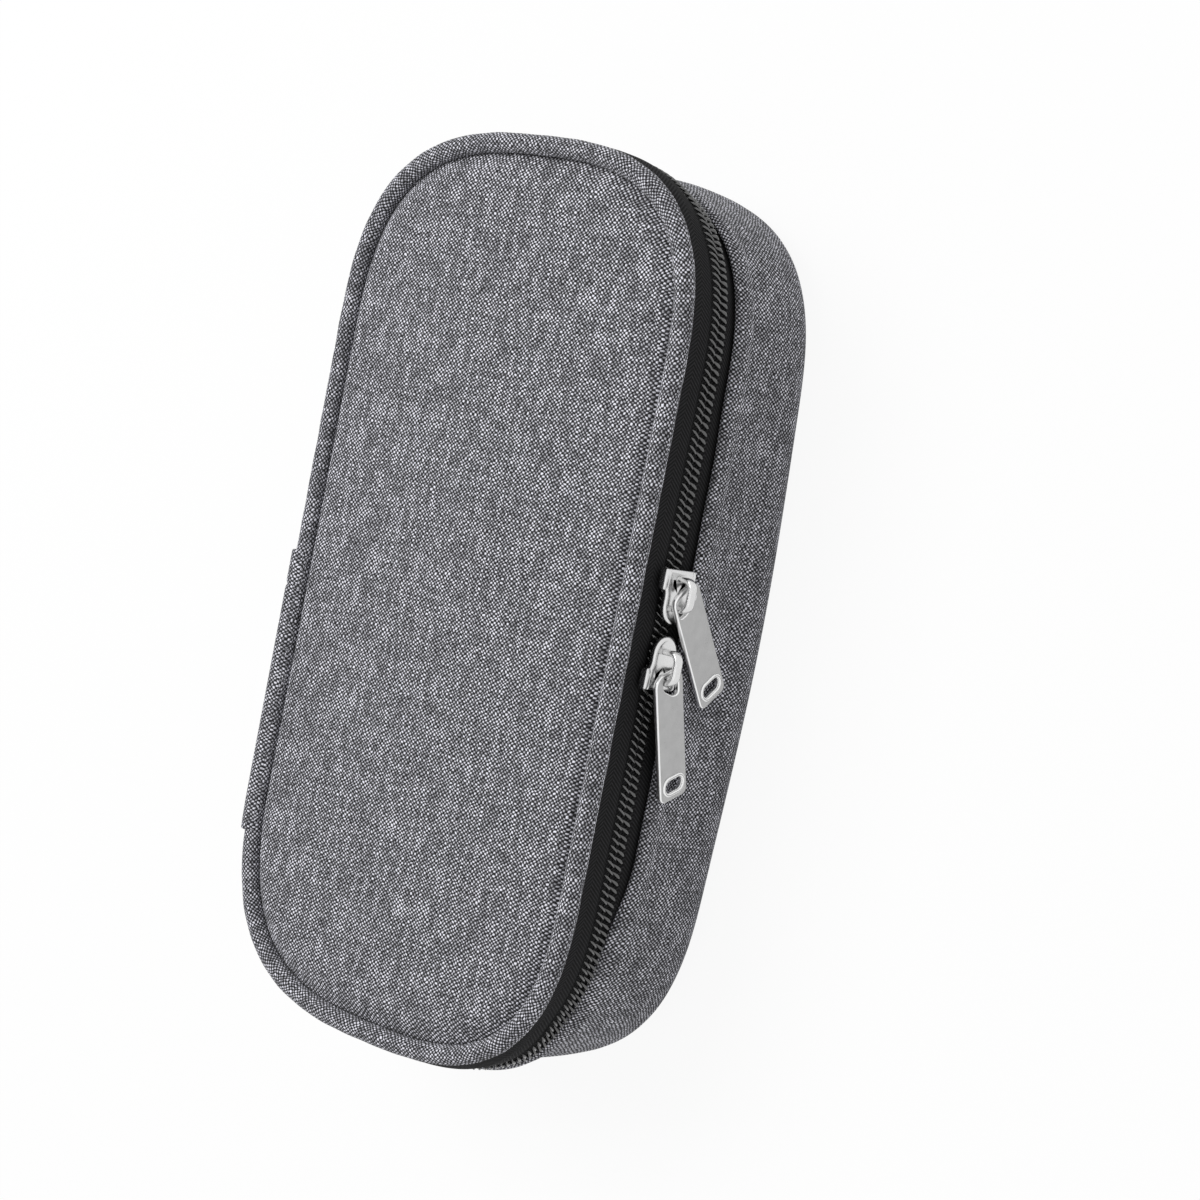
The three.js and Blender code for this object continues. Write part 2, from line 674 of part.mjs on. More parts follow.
// Slider seen from outside: x across the zip, y along it with the nose at -y, z outwards
function sliderGeometry() {
  const half = sliderLength / 2;
  const wing = wingWidth / 2;
  const nose = noseWidth / 2;
  const shoulder = half - wingLength;
  const plateShape = new THREE.Shape();
  plateShape.moveTo(wing, half);
  plateShape.lineTo(-wing, half);
  plateShape.lineTo(-wing, shoulder);
  plateShape.lineTo(-nose, shoulder - (wing - nose));
  plateShape.absellipse(0, -half + nose, nose, nose, Math.PI, 2 * Math.PI);
  plateShape.lineTo(nose, shoulder - (wing - nose));
  plateShape.lineTo(wing, shoulder);
  const plateExtrude = { depth: sliderPlate, bevelEnabled: false, curveSegments: 10 };
  let solid = toSolid(new THREE.ExtrudeGeometry(plateShape, plateExtrude));
  for (const side of [1, -1]) {
    const lip = new THREE.BoxGeometry(lipWidth, wingLength, lipDepth + sliderPlate / 2);
    lip.translate(side * (wing - lipWidth / 2), half - wingLength / 2, (sliderPlate / 2 - lipDepth) / 2);
    solid = solid.add(toSolid(lip));
  }
  const [over, under] = [archShape(0), archShape(bridgeBand)].map((edge) => edge.getPoints(archSteps));
  const arch = new THREE.Shape([...over, ...under.reverse()]);
  const bridge = new THREE.ExtrudeGeometry(arch, { depth: bridgeWidth, bevelEnabled: false });
  bridge.translate(0, 0, -bridgeWidth / 2).rotateX(Math.PI / 2).rotateZ(Math.PI / 2);
  bridge.translate(0, 0, sliderPlate);
  return fromSolid(solid.add(toSolid(bridge)));
}

// Pull lying flat: x across, -y along it from the axis at the origin, with an eye and an oblong slot
function pullGeometry() {
  const [head, end] = [pullHeadWidth / 2, pullEndWidth / 2];
  const tip = pullBar - pullLength;
  const outline = new THREE.Shape();
  outline.moveTo(head, pullBar - pullCorner);
  outline.absarc(head - pullCorner, pullBar - pullCorner, pullCorner, 0, Math.PI / 2);
  outline.absarc(-head + pullCorner, pullBar - pullCorner, pullCorner, Math.PI / 2, Math.PI);
  outline.lineTo(-end, tip + pullCorner);
  outline.absarc(-end + pullCorner, tip + pullCorner, pullCorner, Math.PI, 1.5 * Math.PI);
  outline.absarc(end - pullCorner, tip + pullCorner, pullCorner, 1.5 * Math.PI, 2 * Math.PI);
  const eyeLength = pullEyeEnd - pullEyeStart;
  const eye = roundedRectangle(pullEyeWidth, eyeLength, pullCorner / 2, new THREE.Path());
  const slot = roundedRectangle(pullSlotWidth, pullSlotHeight, pullSlotHeight / 2, new THREE.Path());
  const moved = (path, y) => {
    const points = path.getPoints(pullArcSteps);
    return new THREE.Path(points.map((p) => new THREE.Vector2(p.x, p.y + y)));
  };
  outline.holes.push(moved(eye, -pullEyeStart - eyeLength / 2));
  outline.holes.push(moved(slot, tip + pullSlotMargin + pullSlotHeight / 2));
  const extrude = { depth: pullThick, bevelEnabled: false, curveSegments: pullArcSteps };
  return new THREE.ExtrudeGeometry(outline, extrude).translate(0, 0, -pullThick / 2);
}

// Both sliders park nose to nose on the zip side; their local z points along +X
const sliderSideX = caseWidth / 2 - sliderStandoff;
const sliderY = slidersApart / 2 + sliderLength / 2;
const parked = [['upper', 1, upperPullYaw, upperPullSeat], ['lower', -1, lowerPullYaw, lowerPullSeat]];
for (const [name, side, yaw, pullSeat] of parked) {
  const seat = new THREE.Group();
  seat.position.set(sliderSideX, slidersMeetY + side * sliderY, zipHeight);
  seat.rotation.y = Math.PI / 2;
  group.add(seat);
  const slider = piece(`slider_${name}`, sliderGeometry(), satinMetal, seat);
  slider.rotation.z = side > 0 ? 0 : Math.PI;
  const pull = piece(`pull_${name}`, pullGeometry(), satinMetal, seat);
  pull.position.set(0, side * pullSeat, sliderPlate + pivotHeight);
  pull.rotation.z = THREE.MathUtils.degToRad(yaw);
}

export default group;
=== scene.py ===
import math
import bmesh
import bpy
import numpy as np
from mathutils import Matrix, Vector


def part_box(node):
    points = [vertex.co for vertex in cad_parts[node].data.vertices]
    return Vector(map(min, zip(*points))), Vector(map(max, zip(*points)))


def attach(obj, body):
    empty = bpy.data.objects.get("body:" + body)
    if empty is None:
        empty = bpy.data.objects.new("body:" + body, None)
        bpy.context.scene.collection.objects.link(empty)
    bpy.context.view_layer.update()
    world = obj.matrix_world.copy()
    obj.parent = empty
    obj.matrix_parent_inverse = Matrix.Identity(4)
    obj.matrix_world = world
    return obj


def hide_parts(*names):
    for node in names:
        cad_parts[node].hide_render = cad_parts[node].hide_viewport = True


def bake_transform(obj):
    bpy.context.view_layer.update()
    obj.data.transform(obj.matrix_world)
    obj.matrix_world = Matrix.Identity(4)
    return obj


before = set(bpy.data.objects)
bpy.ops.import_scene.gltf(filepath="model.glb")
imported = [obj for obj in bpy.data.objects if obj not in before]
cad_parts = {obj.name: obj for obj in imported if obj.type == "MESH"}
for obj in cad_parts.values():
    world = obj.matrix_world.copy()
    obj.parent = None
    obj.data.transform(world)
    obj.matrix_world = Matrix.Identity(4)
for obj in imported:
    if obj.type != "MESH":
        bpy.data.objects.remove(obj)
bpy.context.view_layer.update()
scene = bpy.context.scene
scene.view_settings.view_transform = "Standard"
mm = 0.001  # sizes below are millimetres, the scene is metres

# Camera fitted to the photographed outline of lid and base
camera = {
    "place": (0.36627, 0.03851, 0.46262),
    "looks": (-0.61723, -0.06089, -0.78443),
    "upright": (-0.18809, 0.97951, 0.07197),
    "lens": 77.11,
}
eye = bpy.data.cameras.new("eye")
eye.lens, eye.sensor_width, eye.clip_start = camera["lens"], 36, 0.01
eyeObject = bpy.data.objects.new("eye", eye)
scene.collection.objects.link(eyeObject)
backward = -np.array(camera["looks"])
axes = np.stack([np.cross(camera["upright"], backward), camera["upright"], backward], 1)
turned = np.eye(4)
turned[:3, :3], turned[:3, 3] = axes, camera["place"]
eyeObject.matrix_world = Matrix(turned.tolist())
scene.camera = eyeObject
print("camera placed")


# Low and high corner of a solid's box, in millimetres
def span(node):
    low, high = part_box(node)
    return np.array(low) / mm, np.array(high) / mm


# Round-ended outline: |x / half|^n + (past / end)^n = 1, where past is how far y lies
# beyond the straight sides; read back evenly by length from (-half, 0) towards -Y
class Outline:
    def __init__(self, half, length, end, fullness):
        straight = length / 2 - end
        angle = np.linspace(np.pi, 3 * np.pi, 8001)[1:-1]
        across, along = np.cos(angle), np.sin(angle)
        reach = (np.abs(across / half) ** fullness + np.abs(along / end) ** fullness) ** (-1 / fullness)
        x, y = reach * across, reach * along
        y = y + np.where(y > 0, straight, -straight)
        x, y = np.r_[-half, x, -half], np.r_[0, y, 0]
        past = np.maximum(np.abs(y) - straight, 0) / end
        slope = np.stack([
            np.sign(x) * np.abs(x / half) ** (fullness - 1) / half,
            np.sign(y) * past ** (fullness - 1) / end,
        ], -1)
        self.point = np.stack([x, y], -1)
        self.normal = slope / np.linalg.norm(slope, axis=-1, keepdims=True)
        self.length = np.r_[0, np.cumsum(np.linalg.norm(np.diff(self.point, axis=0), axis=1))]
        self.total = self.length[-1]
        self.half, self.end, self.straight, self.fullness = half, end, straight, fullness

    # point and outward direction at a run along the outline
    def at(self, run):
        run = np.mod(run, self.total)
        read = lambda values: np.stack([np.interp(run, self.length, values[:, k]) for k in (0, 1)], -1)
        normal = read(self.normal)
        return read(self.point), normal / np.linalg.norm(normal, axis=-1, keepdims=True)

    # place of a point given by its run along the outline, how far in it lies, and its height
    def place(self, run, inset, height):
        run, inset, height = np.broadcast_arrays(run, inset, height)
        point, normal = self.at(run)
        return np.concatenate([point - normal * inset[..., None], height[..., None]], -1)

    # 0 on the middle line, 1 on the outline moved in by inset
    def gauge(self, x, y, inset):
        past = np.maximum(np.abs(y) - self.straight, 0) / (self.end - inset)
        side = np.abs(x) / (self.half - inset)
        return (side ** self.fullness + past ** self.fullness) ** (1 / self.fullness)

    # count places, evenly spaced along the whole outline
    def runs(self, count):
        return np.arange(count) / count * self.total


case = {"end": 47.3, "fullness": 2.8, "zip": 34.75, "spineTop": 1.0, "spineBottom": -64.0, "under": 2.2}
wallHigh = span("side_gusset")[1]
rim = Outline(wallHigh[0], 2 * wallHigh[1], case["end"], case["fullness"])
leftSide = rim.length < rim.total / 4
spineEnd = np.interp(-case["spineBottom"], -rim.point[leftSide, 1], rim.length[leftSide])
zipStart, zipEnd = spineEnd - case["under"], rim.total - case["spineTop"] + case["under"]


# How far a value has come from the first to the second: 0 before, 1 after, even between them
def partWay(value, first, second):
    return np.clip((value - first) / (second - first), 0, 1)


# The same with soft ends: 3 t^2 - 2 t^3
def ramp(value, first, second):
    part = partWay(value, first, second)
    return part ** 2 * (3 - 2 * part)


# A power that keeps the sign, which makes a circle's cosines and sines squarer
def signedPower(value, power):
    return np.sign(value) * np.abs(value) ** power


# How far the soft base stands out from the rim: the foot of its long sides swells about the middle, its
# ends move by the cube of their distance along the case, and the zip bows out at the very ends
slack = {
    "foot": 2.8, "reach": 55.0, "footHeights": (17, 8), "lowFoot": -0.5, "lowLip": -0.3, "highFoot": -2.5,
    "highLip": -2.8, "lipHeights": (8, 27), "clothFades": (33, 29), "lowZip": 3.3, "lowZipHeights": (27, 32),
    "highZip": 2.1, "highZipHeights": (33, 40), "zipFades": (48.2, 42), "zipFrom": 0.82,
}


def standOut(run, height):
    point, normal = rim.at(run)
    along = point[..., 1] / rim.point[:, 1].max()
    low, high = np.clip(-along, 0, 1) ** 3, np.clip(along, 0, 1) ** 3
    rise = partWay(height, *slack["lipHeights"])
    middle = np.exp(-(point[..., 1] / slack["reach"]) ** 2) * normal[..., 0] ** 2
    ends = (slack["lowFoot"] * low + slack["highFoot"] * high) * (1 - rise)
    ends = ends + (slack["lowLip"] * low + slack["highLip"] * high) * rise
    lowBow = slack["lowZip"] * partWay(height, *slack["lowZipHeights"])
    highBow = slack["highZip"] * partWay(height, *slack["highZipHeights"])
    bow = np.where(along < 0, lowBow, highBow) * ramp(np.abs(along), slack["zipFrom"], 1)
    foot = slack["foot"] * middle * ramp(height, *slack["footHeights"])
    return (foot + ends) * partWay(height, *slack["clothFades"]) + bow * partWay(height, *slack["zipFades"])


# A gentle unevenness that closes on itself: a sum of sines of whole numbers of waves, from -1 to 1
def unevenness(run, total, waves, seed):
    phase = np.random.default_rng(seed).uniform(0, 2 * np.pi, len(waves))
    turns = 2 * np.pi * np.multiply.outer(run / total, waves)
    return np.sin(turns + phase).mean(-1)


# Faces of a grid of points (copies, rows, columns), with ends closed by fans; uv follows the
# same grid, one step longer where the grid closes on itself
def surfaceMesh(name, points, uv=None, closeRows=False, closeCols=False, caps=False, sharp=None):
    points = np.asarray(points, float)
    grid = points.reshape((-1,) + points.shape[-3:])
    copies, rows, cols, _ = grid.shape
    number = np.arange(copies * rows * cols).reshape(copies, rows, cols)
    uvRows, uvCols = rows + closeRows, cols + closeCols
    uvNumber = np.arange(copies * uvRows * uvCols).reshape(copies, uvRows, uvCols)

    def corners(table, wrapRows, wrapCols):
        table = np.concatenate([table, table[:, :1]], 1) if wrapRows else table
        table = np.concatenate([table, table[:, :, :1]], 2) if wrapCols else table
        quad = np.stack([table[:, :-1, :-1], table[:, :-1, 1:], table[:, 1:, 1:], table[:, 1:, :-1]], -1)
        return table, quad.reshape(-1, 4)

    table, quads = corners(number, closeRows, closeCols)
    uvTable, uvQuads = corners(uvNumber, False, False)
    vertices = [grid.reshape(-1, 3)]
    fans, uvFans = np.empty((0, 3), int), np.empty((0, 3), int)
    uvValues = None
    if uv is not None:
        uvValues = np.broadcast_to(uv, (copies, uvRows, uvCols, 2)).reshape(-1, 2)
    if caps:
        start = copies * rows * cols
        uvStart = copies * uvRows * uvCols
        for k, row in enumerate((0, -1)):
            ring, uvRing = table[:, row], uvTable[:, row]
            middle = start + k * copies + np.arange(copies)[:, None] + 0 * ring[:, 1:]
            uvMiddle = uvStart + k * copies + np.arange(copies)[:, None] + 0 * ring[:, 1:]
            a, b = (ring[:, :-1], ring[:, 1:]) if row else (ring[:, 1:], ring[:, :-1])
            c, d = (uvRing[:, :-1], uvRing[:, 1:]) if row else (uvRing[:, 1:], uvRing[:, :-1])
            fans = np.r_[fans, np.stack([a, b, middle], -1).reshape(-1, 3)]
            uvFans = np.r_[uvFans, np.stack([c, d, uvMiddle], -1).reshape(-1, 3)]
            vertices.append(grid[:, row].mean(1))
            if uv is not None:
                ends = np.broadcast_to(uv, (copies, uvRows, uvCols, 2))[:, row].mean(1)
                uvValues = np.r_[uvValues, ends]
    vertices = np.concatenate(vertices)
    corner = np.r_[quads.ravel(), fans.ravel()]
    uvCorner = np.r_[uvQuads.ravel(), uvFans.ravel()]
    sizes = np.r_[np.full(len(quads), 4), np.full(len(fans), 3)]
    starts = np.r_[0, np.cumsum(sizes)[:-1]]
    triangles = np.r_[quads[:, :3], quads[:, [0, 2, 3]], fans]
    a, b, c = (vertices[triangles[:, k]] for k in range(3))
    if (a * np.cross(b, c)).sum() < 0:  # inside out: each face is read backwards
        order = np.concatenate([np.arange(len(quads) * 4).reshape(-1, 4)[:, ::-1].ravel(),
                                len(quads) * 4 + np.arange(len(fans) * 3).reshape(-1, 3)[:, ::-1].ravel()])
        corner, uvCorner = corner[order], uvCorner[order]
    mesh = bpy.data.meshes.new(name)
    mesh.vertices.add(len(vertices))
    mesh.vertices.foreach_set("co", (vertices * mm).ravel())
    mesh.loops.add(len(corner))
    mesh.loops.foreach_set("vertex_index", corner.astype(np.int32))
    mesh.polygons.add(len(sizes))
    mesh.polygons.foreach_set("loop_start", starts.astype(np.int32))
    mesh.update(calc_edges=True)
    if uv is not None:
        layer = mesh.uv_layers.new(name="cloth")
        layer.data.foreach_set("uv", uvValues[uvCorner].astype(np.float32).ravel())
    mesh.shade_smooth()
    if sharp:
        mesh.set_sharp_from_angle(angle=math.radians(sharp))
    return mesh


# Joins vertices that lie within reach of each other, and turns all faces outwards
def weld(mesh, reach):
    work = bmesh.new()
    work.from_mesh(mesh)
    bmesh.ops.remove_doubles(work, verts=work.verts, dist=reach * mm)
    bmesh.ops.recalc_face_normals(work, faces=work.faces)
    work.to_mesh(mesh)
    work.free()


# Puts a mesh in the scene on its body, with its finish, in place of the solids it stands for
def fit(name, mesh, finish, body, instead=()):
    made = bpy.data.objects.new(name, mesh)
    scene.collection.objects.link(made)
    mesh.materials.append(finish)
    if body:
        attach(made, body)
    if instead:
        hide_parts(*instead)
    return made


# Flat length along a profile: the sum of its steps, for the cloth's own coordinates
def profileLength(inset, height):
    step = np.hypot(np.diff(inset), np.diff(height))
    return np.r_[0, np.cumsum(step)]


# Carries a closed profile of insets and heights along runs of an outline; grain is how the cloth's yarns lie
def carried(name, outline, run, inset, height, closed=True, sharp=None, grain="across", caps=True):
    inset, height = (np.atleast_2d(np.asarray(a, float).T).T for a in (inset, height))
    points = outline.place(run[None, :], inset, height)
    girth = profileLength(np.r_[inset[:, 0], inset[0, 0]], np.r_[height[:, 0], height[0, 0]])
    across = np.r_[run, run[0] + outline.total] if closed else run
    u, v = np.meshgrid(across, girth)
    uv = np.stack([u, v] if grain == "across" else [v, u], -1)
    return surfaceMesh(name, points.transpose(1, 0, 2), uv.transpose(1, 0, 2), closeRows=closed,
                       closeCols=True, caps=caps and not closed, sharp=sharp)


# Rings of inset, height and share of the outline's reach, closed over the middle on both faces
def rings(name, outline, count, inset, height, share, sharp=None, shift=(0, 0), lift=None, out=None):
    run = outline.runs(count)
    inset, height, share = (np.asarray(a, float)[:, None] for a in (inset, height, share))
    inset = inset if out is None else inset - out(run, height)
    points = outline.place(run[None, :], inset, height + 0 * run[None, :])
    points[..., :2] = points[..., :2] * share[..., None] + np.array(shift)
    if lift is not None:
        points[..., 2] += lift(points, share + 0 * run[None, :])
    flat = points[..., :2]
    uv = np.concatenate([flat, flat[:, :1]], 1)
    return surfaceMesh(name, points, uv, closeCols=True, caps=True, sharp=sharp)


# A socket that can be written in sums: each operator adds one Math node
class Value:
    def __init__(self, nodes, socket):
        self.nodes, self.socket = nodes, socket

    def math(self, operation, *others, first=None):
        terms = [first, self] if first is not None else [self, *others]
        return self.nodes.node("ShaderNodeMath", {"operation": operation}, terms)

    def __add__(self, other): return self.math("ADD", other)
    def __radd__(self, other): return self.math("ADD", first=other)
    def __sub__(self, other): return self.math("SUBTRACT", other)
    def __rsub__(self, other): return self.math("SUBTRACT", first=other)
    def __mul__(self, other): return self.math("MULTIPLY", other)
    def __rmul__(self, other): return self.math("MULTIPLY", first=other)
    def __truediv__(self, other): return self.math("DIVIDE", other)
    def __pow__(self, other): return self.math("POWER", other)
    def __gt__(self, other): return self.math("GREATER_THAN", other)
    def __lt__(self, other): return self.math("LESS_THAN", other)
    def floor(self): return self.math("FLOOR")
    def fract(self): return self.math("FRACT")
    def sin(self): return self.math("SINE")
    def cos(self): return self.math("COSINE")
    def abs(self): return self.math("ABSOLUTE")
    def mod(self, other): return self.math("FLOORED_MODULO", other)
    def max(self, other): return self.math("MAXIMUM", other)
    def min(self, other): return self.math("MINIMUM", other)


# A tree of nodes, and one way to add any node with its settings and its sockets
class NodeTree:
    def __init__(self, tree):
        self.tree = tree

    def put(self, socket, value):
        if isinstance(value, Value):
            self.tree.links.new(value.socket, socket)
        else:
            socket.default_value = value

    def node(self, kind, settings=None, sockets=(), output=0):
        made = self.tree.nodes.new(kind)
        for name, value in (settings or {}).items():
            setattr(made, name, value)
        for key, value in sockets.items() if isinstance(sockets, dict) else enumerate(sockets):
            self.put(made.inputs[key], value)
        return Value(self, made.outputs[output])

    # 1 for what the camera sees, straight, in a reflection or through glass, and 0 for light on a piece
    def seenRays(self):
        straight = self.node("ShaderNodeLightPath")
        outputs = straight.socket.node.outputs
        glossy, through = (Value(self, outputs[ray]) for ray in ("Is Glossy Ray", "Is Transmission Ray"))
        return (straight + glossy + through).min(1.0)


# One material: a shader with its sockets, and the patterns that the finishes are made of
class Finish(NodeTree):
    def __init__(self, name, **plain):
        self.material = bpy.data.materials.new(name)
        self.material.use_nodes = True
        super().__init__(self.material.node_tree)
        self.shader = self.tree.nodes["Principled BSDF"]
        self.give(**plain)

    def give(self, **sockets):
        for name, value in sockets.items():
            self.put(self.shader.inputs[name.replace("_", " ")], value)

    # the piece's own cloth coordinates, in millimetres along and across
    def cloth(self):
        grid = self.node("ShaderNodeUVMap", {"uv_map": "cloth"})
        split = self.node("ShaderNodeSeparateXYZ", None, [grid])
        return split, Value(self, split.socket.node.outputs[1])

    def spot(self, x, y, z=0.0):
        return self.node("ShaderNodeCombineXYZ", None, [x, y, z])

    def noise(self, where, scale=1.0, detail=2.0, **settings):
        return self.node("ShaderNodeTexNoise", settings, {"Vector": where, "Scale": scale, "Detail": detail})

    def place(self):
        return self.node("ShaderNodeTexCoord", None, (), 3)

    def blend(self, share, first, second):
        return self.node("ShaderNodeMix", {"data_type": "RGBA"}, {0: share, 6: first, 7: second}, 2)

    def ridge(self, height, strength, depth):
        self.give(Normal=self.node("ShaderNodeBump", None,
                                   {"Strength": strength, "Distance": depth * mm, "Height": height}))


# A grey of one level, its blue times cool
def grey(level, cool=1.0):
    return (level, level, level * cool, 1.0)


# Woven cloth: over is 1 where the light yarn lies on top; yarns brighten in slubs along them, each
# crossing has a tone of its own, and its crown is the product of two cosines; the crown also darkens the
# light yarn towards its edges, painted shade in the gaps between the yarns
def heatherCloth(name, weave):
    cloth = Finish(name, Roughness=0.95, Sheen_Weight=0.08, Sheen_Roughness=0.5, Specular_IOR_Level=0.2)
    u, v = cloth.cloth()
    drift = cloth.noise(cloth.spot(u, v), 0.5, 2.0) - 0.5
    sway = cloth.noise(cloth.spot(u, v, 7.0), 0.5, 2.0) - 0.5
    x = u / weave["yarn"] + drift * weave["wander"]
    y = v / (weave["yarn"] * weave["squat"]) + sway * weave["wander"]
    column, row = x.floor(), y.floor()
    own = cloth.node("ShaderNodeTexWhiteNoise", {"noise_dimensions": "2D"},
                     {"Vector": cloth.spot(column, row)})
    over = (column + row).mod(2.0)
    warp = cloth.noise(cloth.spot(column * weave["group"], v / weave["slub"]), 1.0, 3.0)
    weft = cloth.noise(cloth.spot(u / weave["slub"], row * weave["group"], 4.0), 1.0, 3.0)
    cloud = cloth.noise(cloth.spot(u, v), 0.11, 3.0)
    crown = (((x.fract() - 0.5) * np.pi).cos() * ((y.fract() - 0.5) * np.pi).cos()).max(0.0)
    slub = (warp - 0.5).max(0.0) * weave["streak"] + (weft - 0.5).max(0.0) * weave["cross"]
    # painted shade: crown ** 0.7 darkens the light yarn towards the gaps between yarns
    light = weave["light"] * (0.72 + slub + (warp - 0.5) * 0.8) * (crown ** 0.7) * (0.7 + 0.6 * own)
    dark = weave["dark"] * (0.5 + own) * (1.0 + (weft - 0.5) * 2.0)
    tone = (light * over + dark) * (0.8 + 0.4 * cloud)
    cloth.give(Base_Color=cloth.blend(tone.max(0.006).min(0.95), grey(0.0), (1.0, 1.0, 1.09, 1.0)))
    cloth.ridge(crown * (0.6 + 0.4 * over), 0.6, 0.2)
    return cloth.material


heather = heatherCloth("heatherCloth", {
    "yarn": 0.54, "squat": 0.88, "slub": 8.0, "group": 0.77, "streak": 7.5, "cross": 4.0, "light": 0.86,
    "dark": 0.03, "wander": 2.2})


# Zip tape: fine ridges slanted one way in one column and the other way in the next, their crests painted
# lighter as a painted highlight
def tapeCloth(name, tape):
    cloth = Finish(name, Roughness=0.9, Specular_IOR_Level=0.2)
    u, v = cloth.cloth()
    side = (v / tape["column"]).floor().mod(2.0) * 2.0 - 1.0
    ridge = ((u * 0.8 + v * side * 0.6) * (2 * np.pi / tape["ridge"])).sin() * 0.5 + 0.5
    fuzz = cloth.noise(cloth.spot(u, v), 1.6, 4.0)
    # painted highlight and shade: tone rises with the square of the ridge, so crests are lighter and grooves
    # darker
    tone = (ridge * ridge * 0.024 + 0.004) * (0.5 + fuzz)
    cloth.give(Base_Color=cloth.blend(tone, grey(0.0), (1.0, 1.0, 1.06, 1.0)))
    cloth.ridge(ridge + fuzz * 0.3, 0.7, 0.15)
    return cloth.material


zipTape = tapeCloth("zipTape", {"column": 4.1, "ridge": 0.72})


# Black nylon of the coil: nearly even, with a faint cloudiness in its gloss
def coilNylon(name):
    nylon = Finish(name, Specular_IOR_Level=1.0, Coat_Weight=0.6, Coat_Roughness=0.15)
    cloud = nylon.noise(nylon.place(), 900.0, 3.0)
    nylon.give(Base_Color=nylon.blend(cloud, grey(0.006), grey(0.02)), Roughness=0.16 + 0.16 * cloud)
    return nylon.material


nylon = coilNylon("coilNylon")


# Nickel: fine cloudiness in tone and gloss, a fine grain, and a painted highlight on the rounded edges
def nickelFinish(name, tone, gloss):
    metal = Finish(name, Metallic=1.0)
    where = metal.place()
    cloud = metal.noise(where, 420.0, 4.0)
    grain = metal.noise(where, 5200.0, 2.0)
    paintedEdgeHighlight = metal.node("ShaderNodeAttribute", {"attribute_name": "paintedEdgeHighlight"}, (), 2)
    flat = metal.blend(cloud * 0.6 + grain * 0.4, grey(tone - 0.1), grey(tone + 0.1))
    # painted highlight: the faces marked as edges take a light grey in place of the flat tone
    metal.give(Base_Color=metal.blend(paintedEdgeHighlight, flat, grey(0.88)), Roughness=gloss + 0.1 * cloud + 0.12 * grain)
    metal.ridge(grain, 0.15, 0.06)
    return metal.material


satin = nickelFinish("satinNickel", 0.42, 0.2)
# the sliders' nickel: its lower roughness is a glossier finish, and its lighter tone of 0.72 is painted
# highlight
bright = nickelFinish("sliderNickelPaintedLighter", 0.72, 0.12)

# Stage: a pale floor that shows white to the camera and to reflections and keeps part of the shadow
stage = {"floor": 3.0, "shadow": 0.08, "sky": 0.5, "key": 13.0, "fill": 0.5}
floorMesh = bpy.data.meshes.new("floor")
edge = stage["floor"]
floorCorners = [(-edge, -edge, 0), (edge, -edge, 0), (edge, edge, 0), (-edge, edge, 0)]
floorMesh.from_pydata(floorCorners, [], [(0, 1, 2, 3)])
paleFloor = Finish("paleFloor", Base_Color=grey(0.9), Roughness=0.7)
seen = paleFloor.seenRays() * (1.0 - stage["shadow"])
glow = paleFloor.node("ShaderNodeEmission", None, {"Color": grey(1.0), "Strength": 1.0})
lit = Value(paleFloor, paleFloor.shader.outputs[0])
mixed = paleFloor.node("ShaderNodeMixShader", None, [seen, lit, glow])
paleFloor.put(paleFloor.tree.nodes["Material Output"].inputs[0], mixed)
floor = bpy.data.objects.new("floor", floorMesh)
scene.collection.objects.link(floor)
floorMesh.materials.append(paleFloor.material)

world = scene.world or bpy.data.worlds.new("studio")
scene.world = world
world.use_nodes = True
air = NodeTree(world.node_tree)
sky = air.tree.nodes["Background"]
sky.inputs[0].default_value, sky.inputs[1].default_value = grey(1.0), stage["sky"]
white = air.node("ShaderNodeBackground", None, [grey(1.0), 1.0])
skyMix = air.node("ShaderNodeMixShader", None, [air.seenRays(), Value(air, sky.outputs[0]), white])
air.put(air.tree.nodes["World Output"].inputs[0], skyMix)


# Square lamp at a place, turned to shine at the origin
def softbox(name, place, size, power):
    lamp = bpy.data.lights.new(name, "AREA")
    lamp.size, lamp.energy = size, power
    box = bpy.data.objects.new(name, lamp)
    scene.collection.objects.link(box)
    away = np.array(place) / np.linalg.norm(place)
    side = np.cross((0, 1, 0), away)
    side = side / np.linalg.norm(side)
    turn = np.eye(4)
    turn[:3, :3], turn[:3, 3] = np.stack([side, np.cross(away, side), away], 1), place
    box.matrix_world = Matrix(turn.tolist())


softbox("keyBox", (-0.55, 0.5, 1.25), 0.9, stage["key"])
softbox("fillBox", (1.2, -0.3, 0.8), 0.7, stage["fill"])
print("stage and finishes made")

# Side wall of cloth: rounded back edge, a slight bulge, and a soft folded hem under the zip
wall = {"round": 7.5, "bulge": 0.7, "bulgeFrom": 4.0, "wave": 0.45, "thick": 1.0, "hem": 24.0,
        "hemReach": 4.0, "hemDip": 0.25, "lip": 29.4, "climb": 3.8, "climbAlong": (46, 72),
        "climbUp": (12, 28), "tuck": 1.2}
turn = np.linspace(np.pi / 2, 0, 9)
wallZ = np.linspace(9.0, wall["hem"] - 0.6, 9)
outInset = np.r_[wall["round"] * (1 - np.cos(turn)), 0 * wallZ, -0.05, -0.4, -0.4, -0.1, 0.35, 0.9, 1.4, 1.65]
outZ = np.r_[wall["round"] * (1 - np.sin(turn)), wallZ, wall["hem"] + np.r_[0, 1.4, 3.0, 4.4, 5.1],
             wall["lip"], wall["lip"] - np.r_[0.25, 1.0]]
small = wall["round"] - wall["thick"]
inInset = np.r_[1.65, wall["thick"], wall["thick"], wall["round"] - small * np.cos(turn[::-1])]
inZ = np.r_[27.0, 26.2, 16.0, wall["round"] - small * np.sin(turn[::-1])]
run = rim.runs(520)
billow = np.sin(np.pi * partWay(outZ, wall["bulgeFrom"], wall["hem"]))
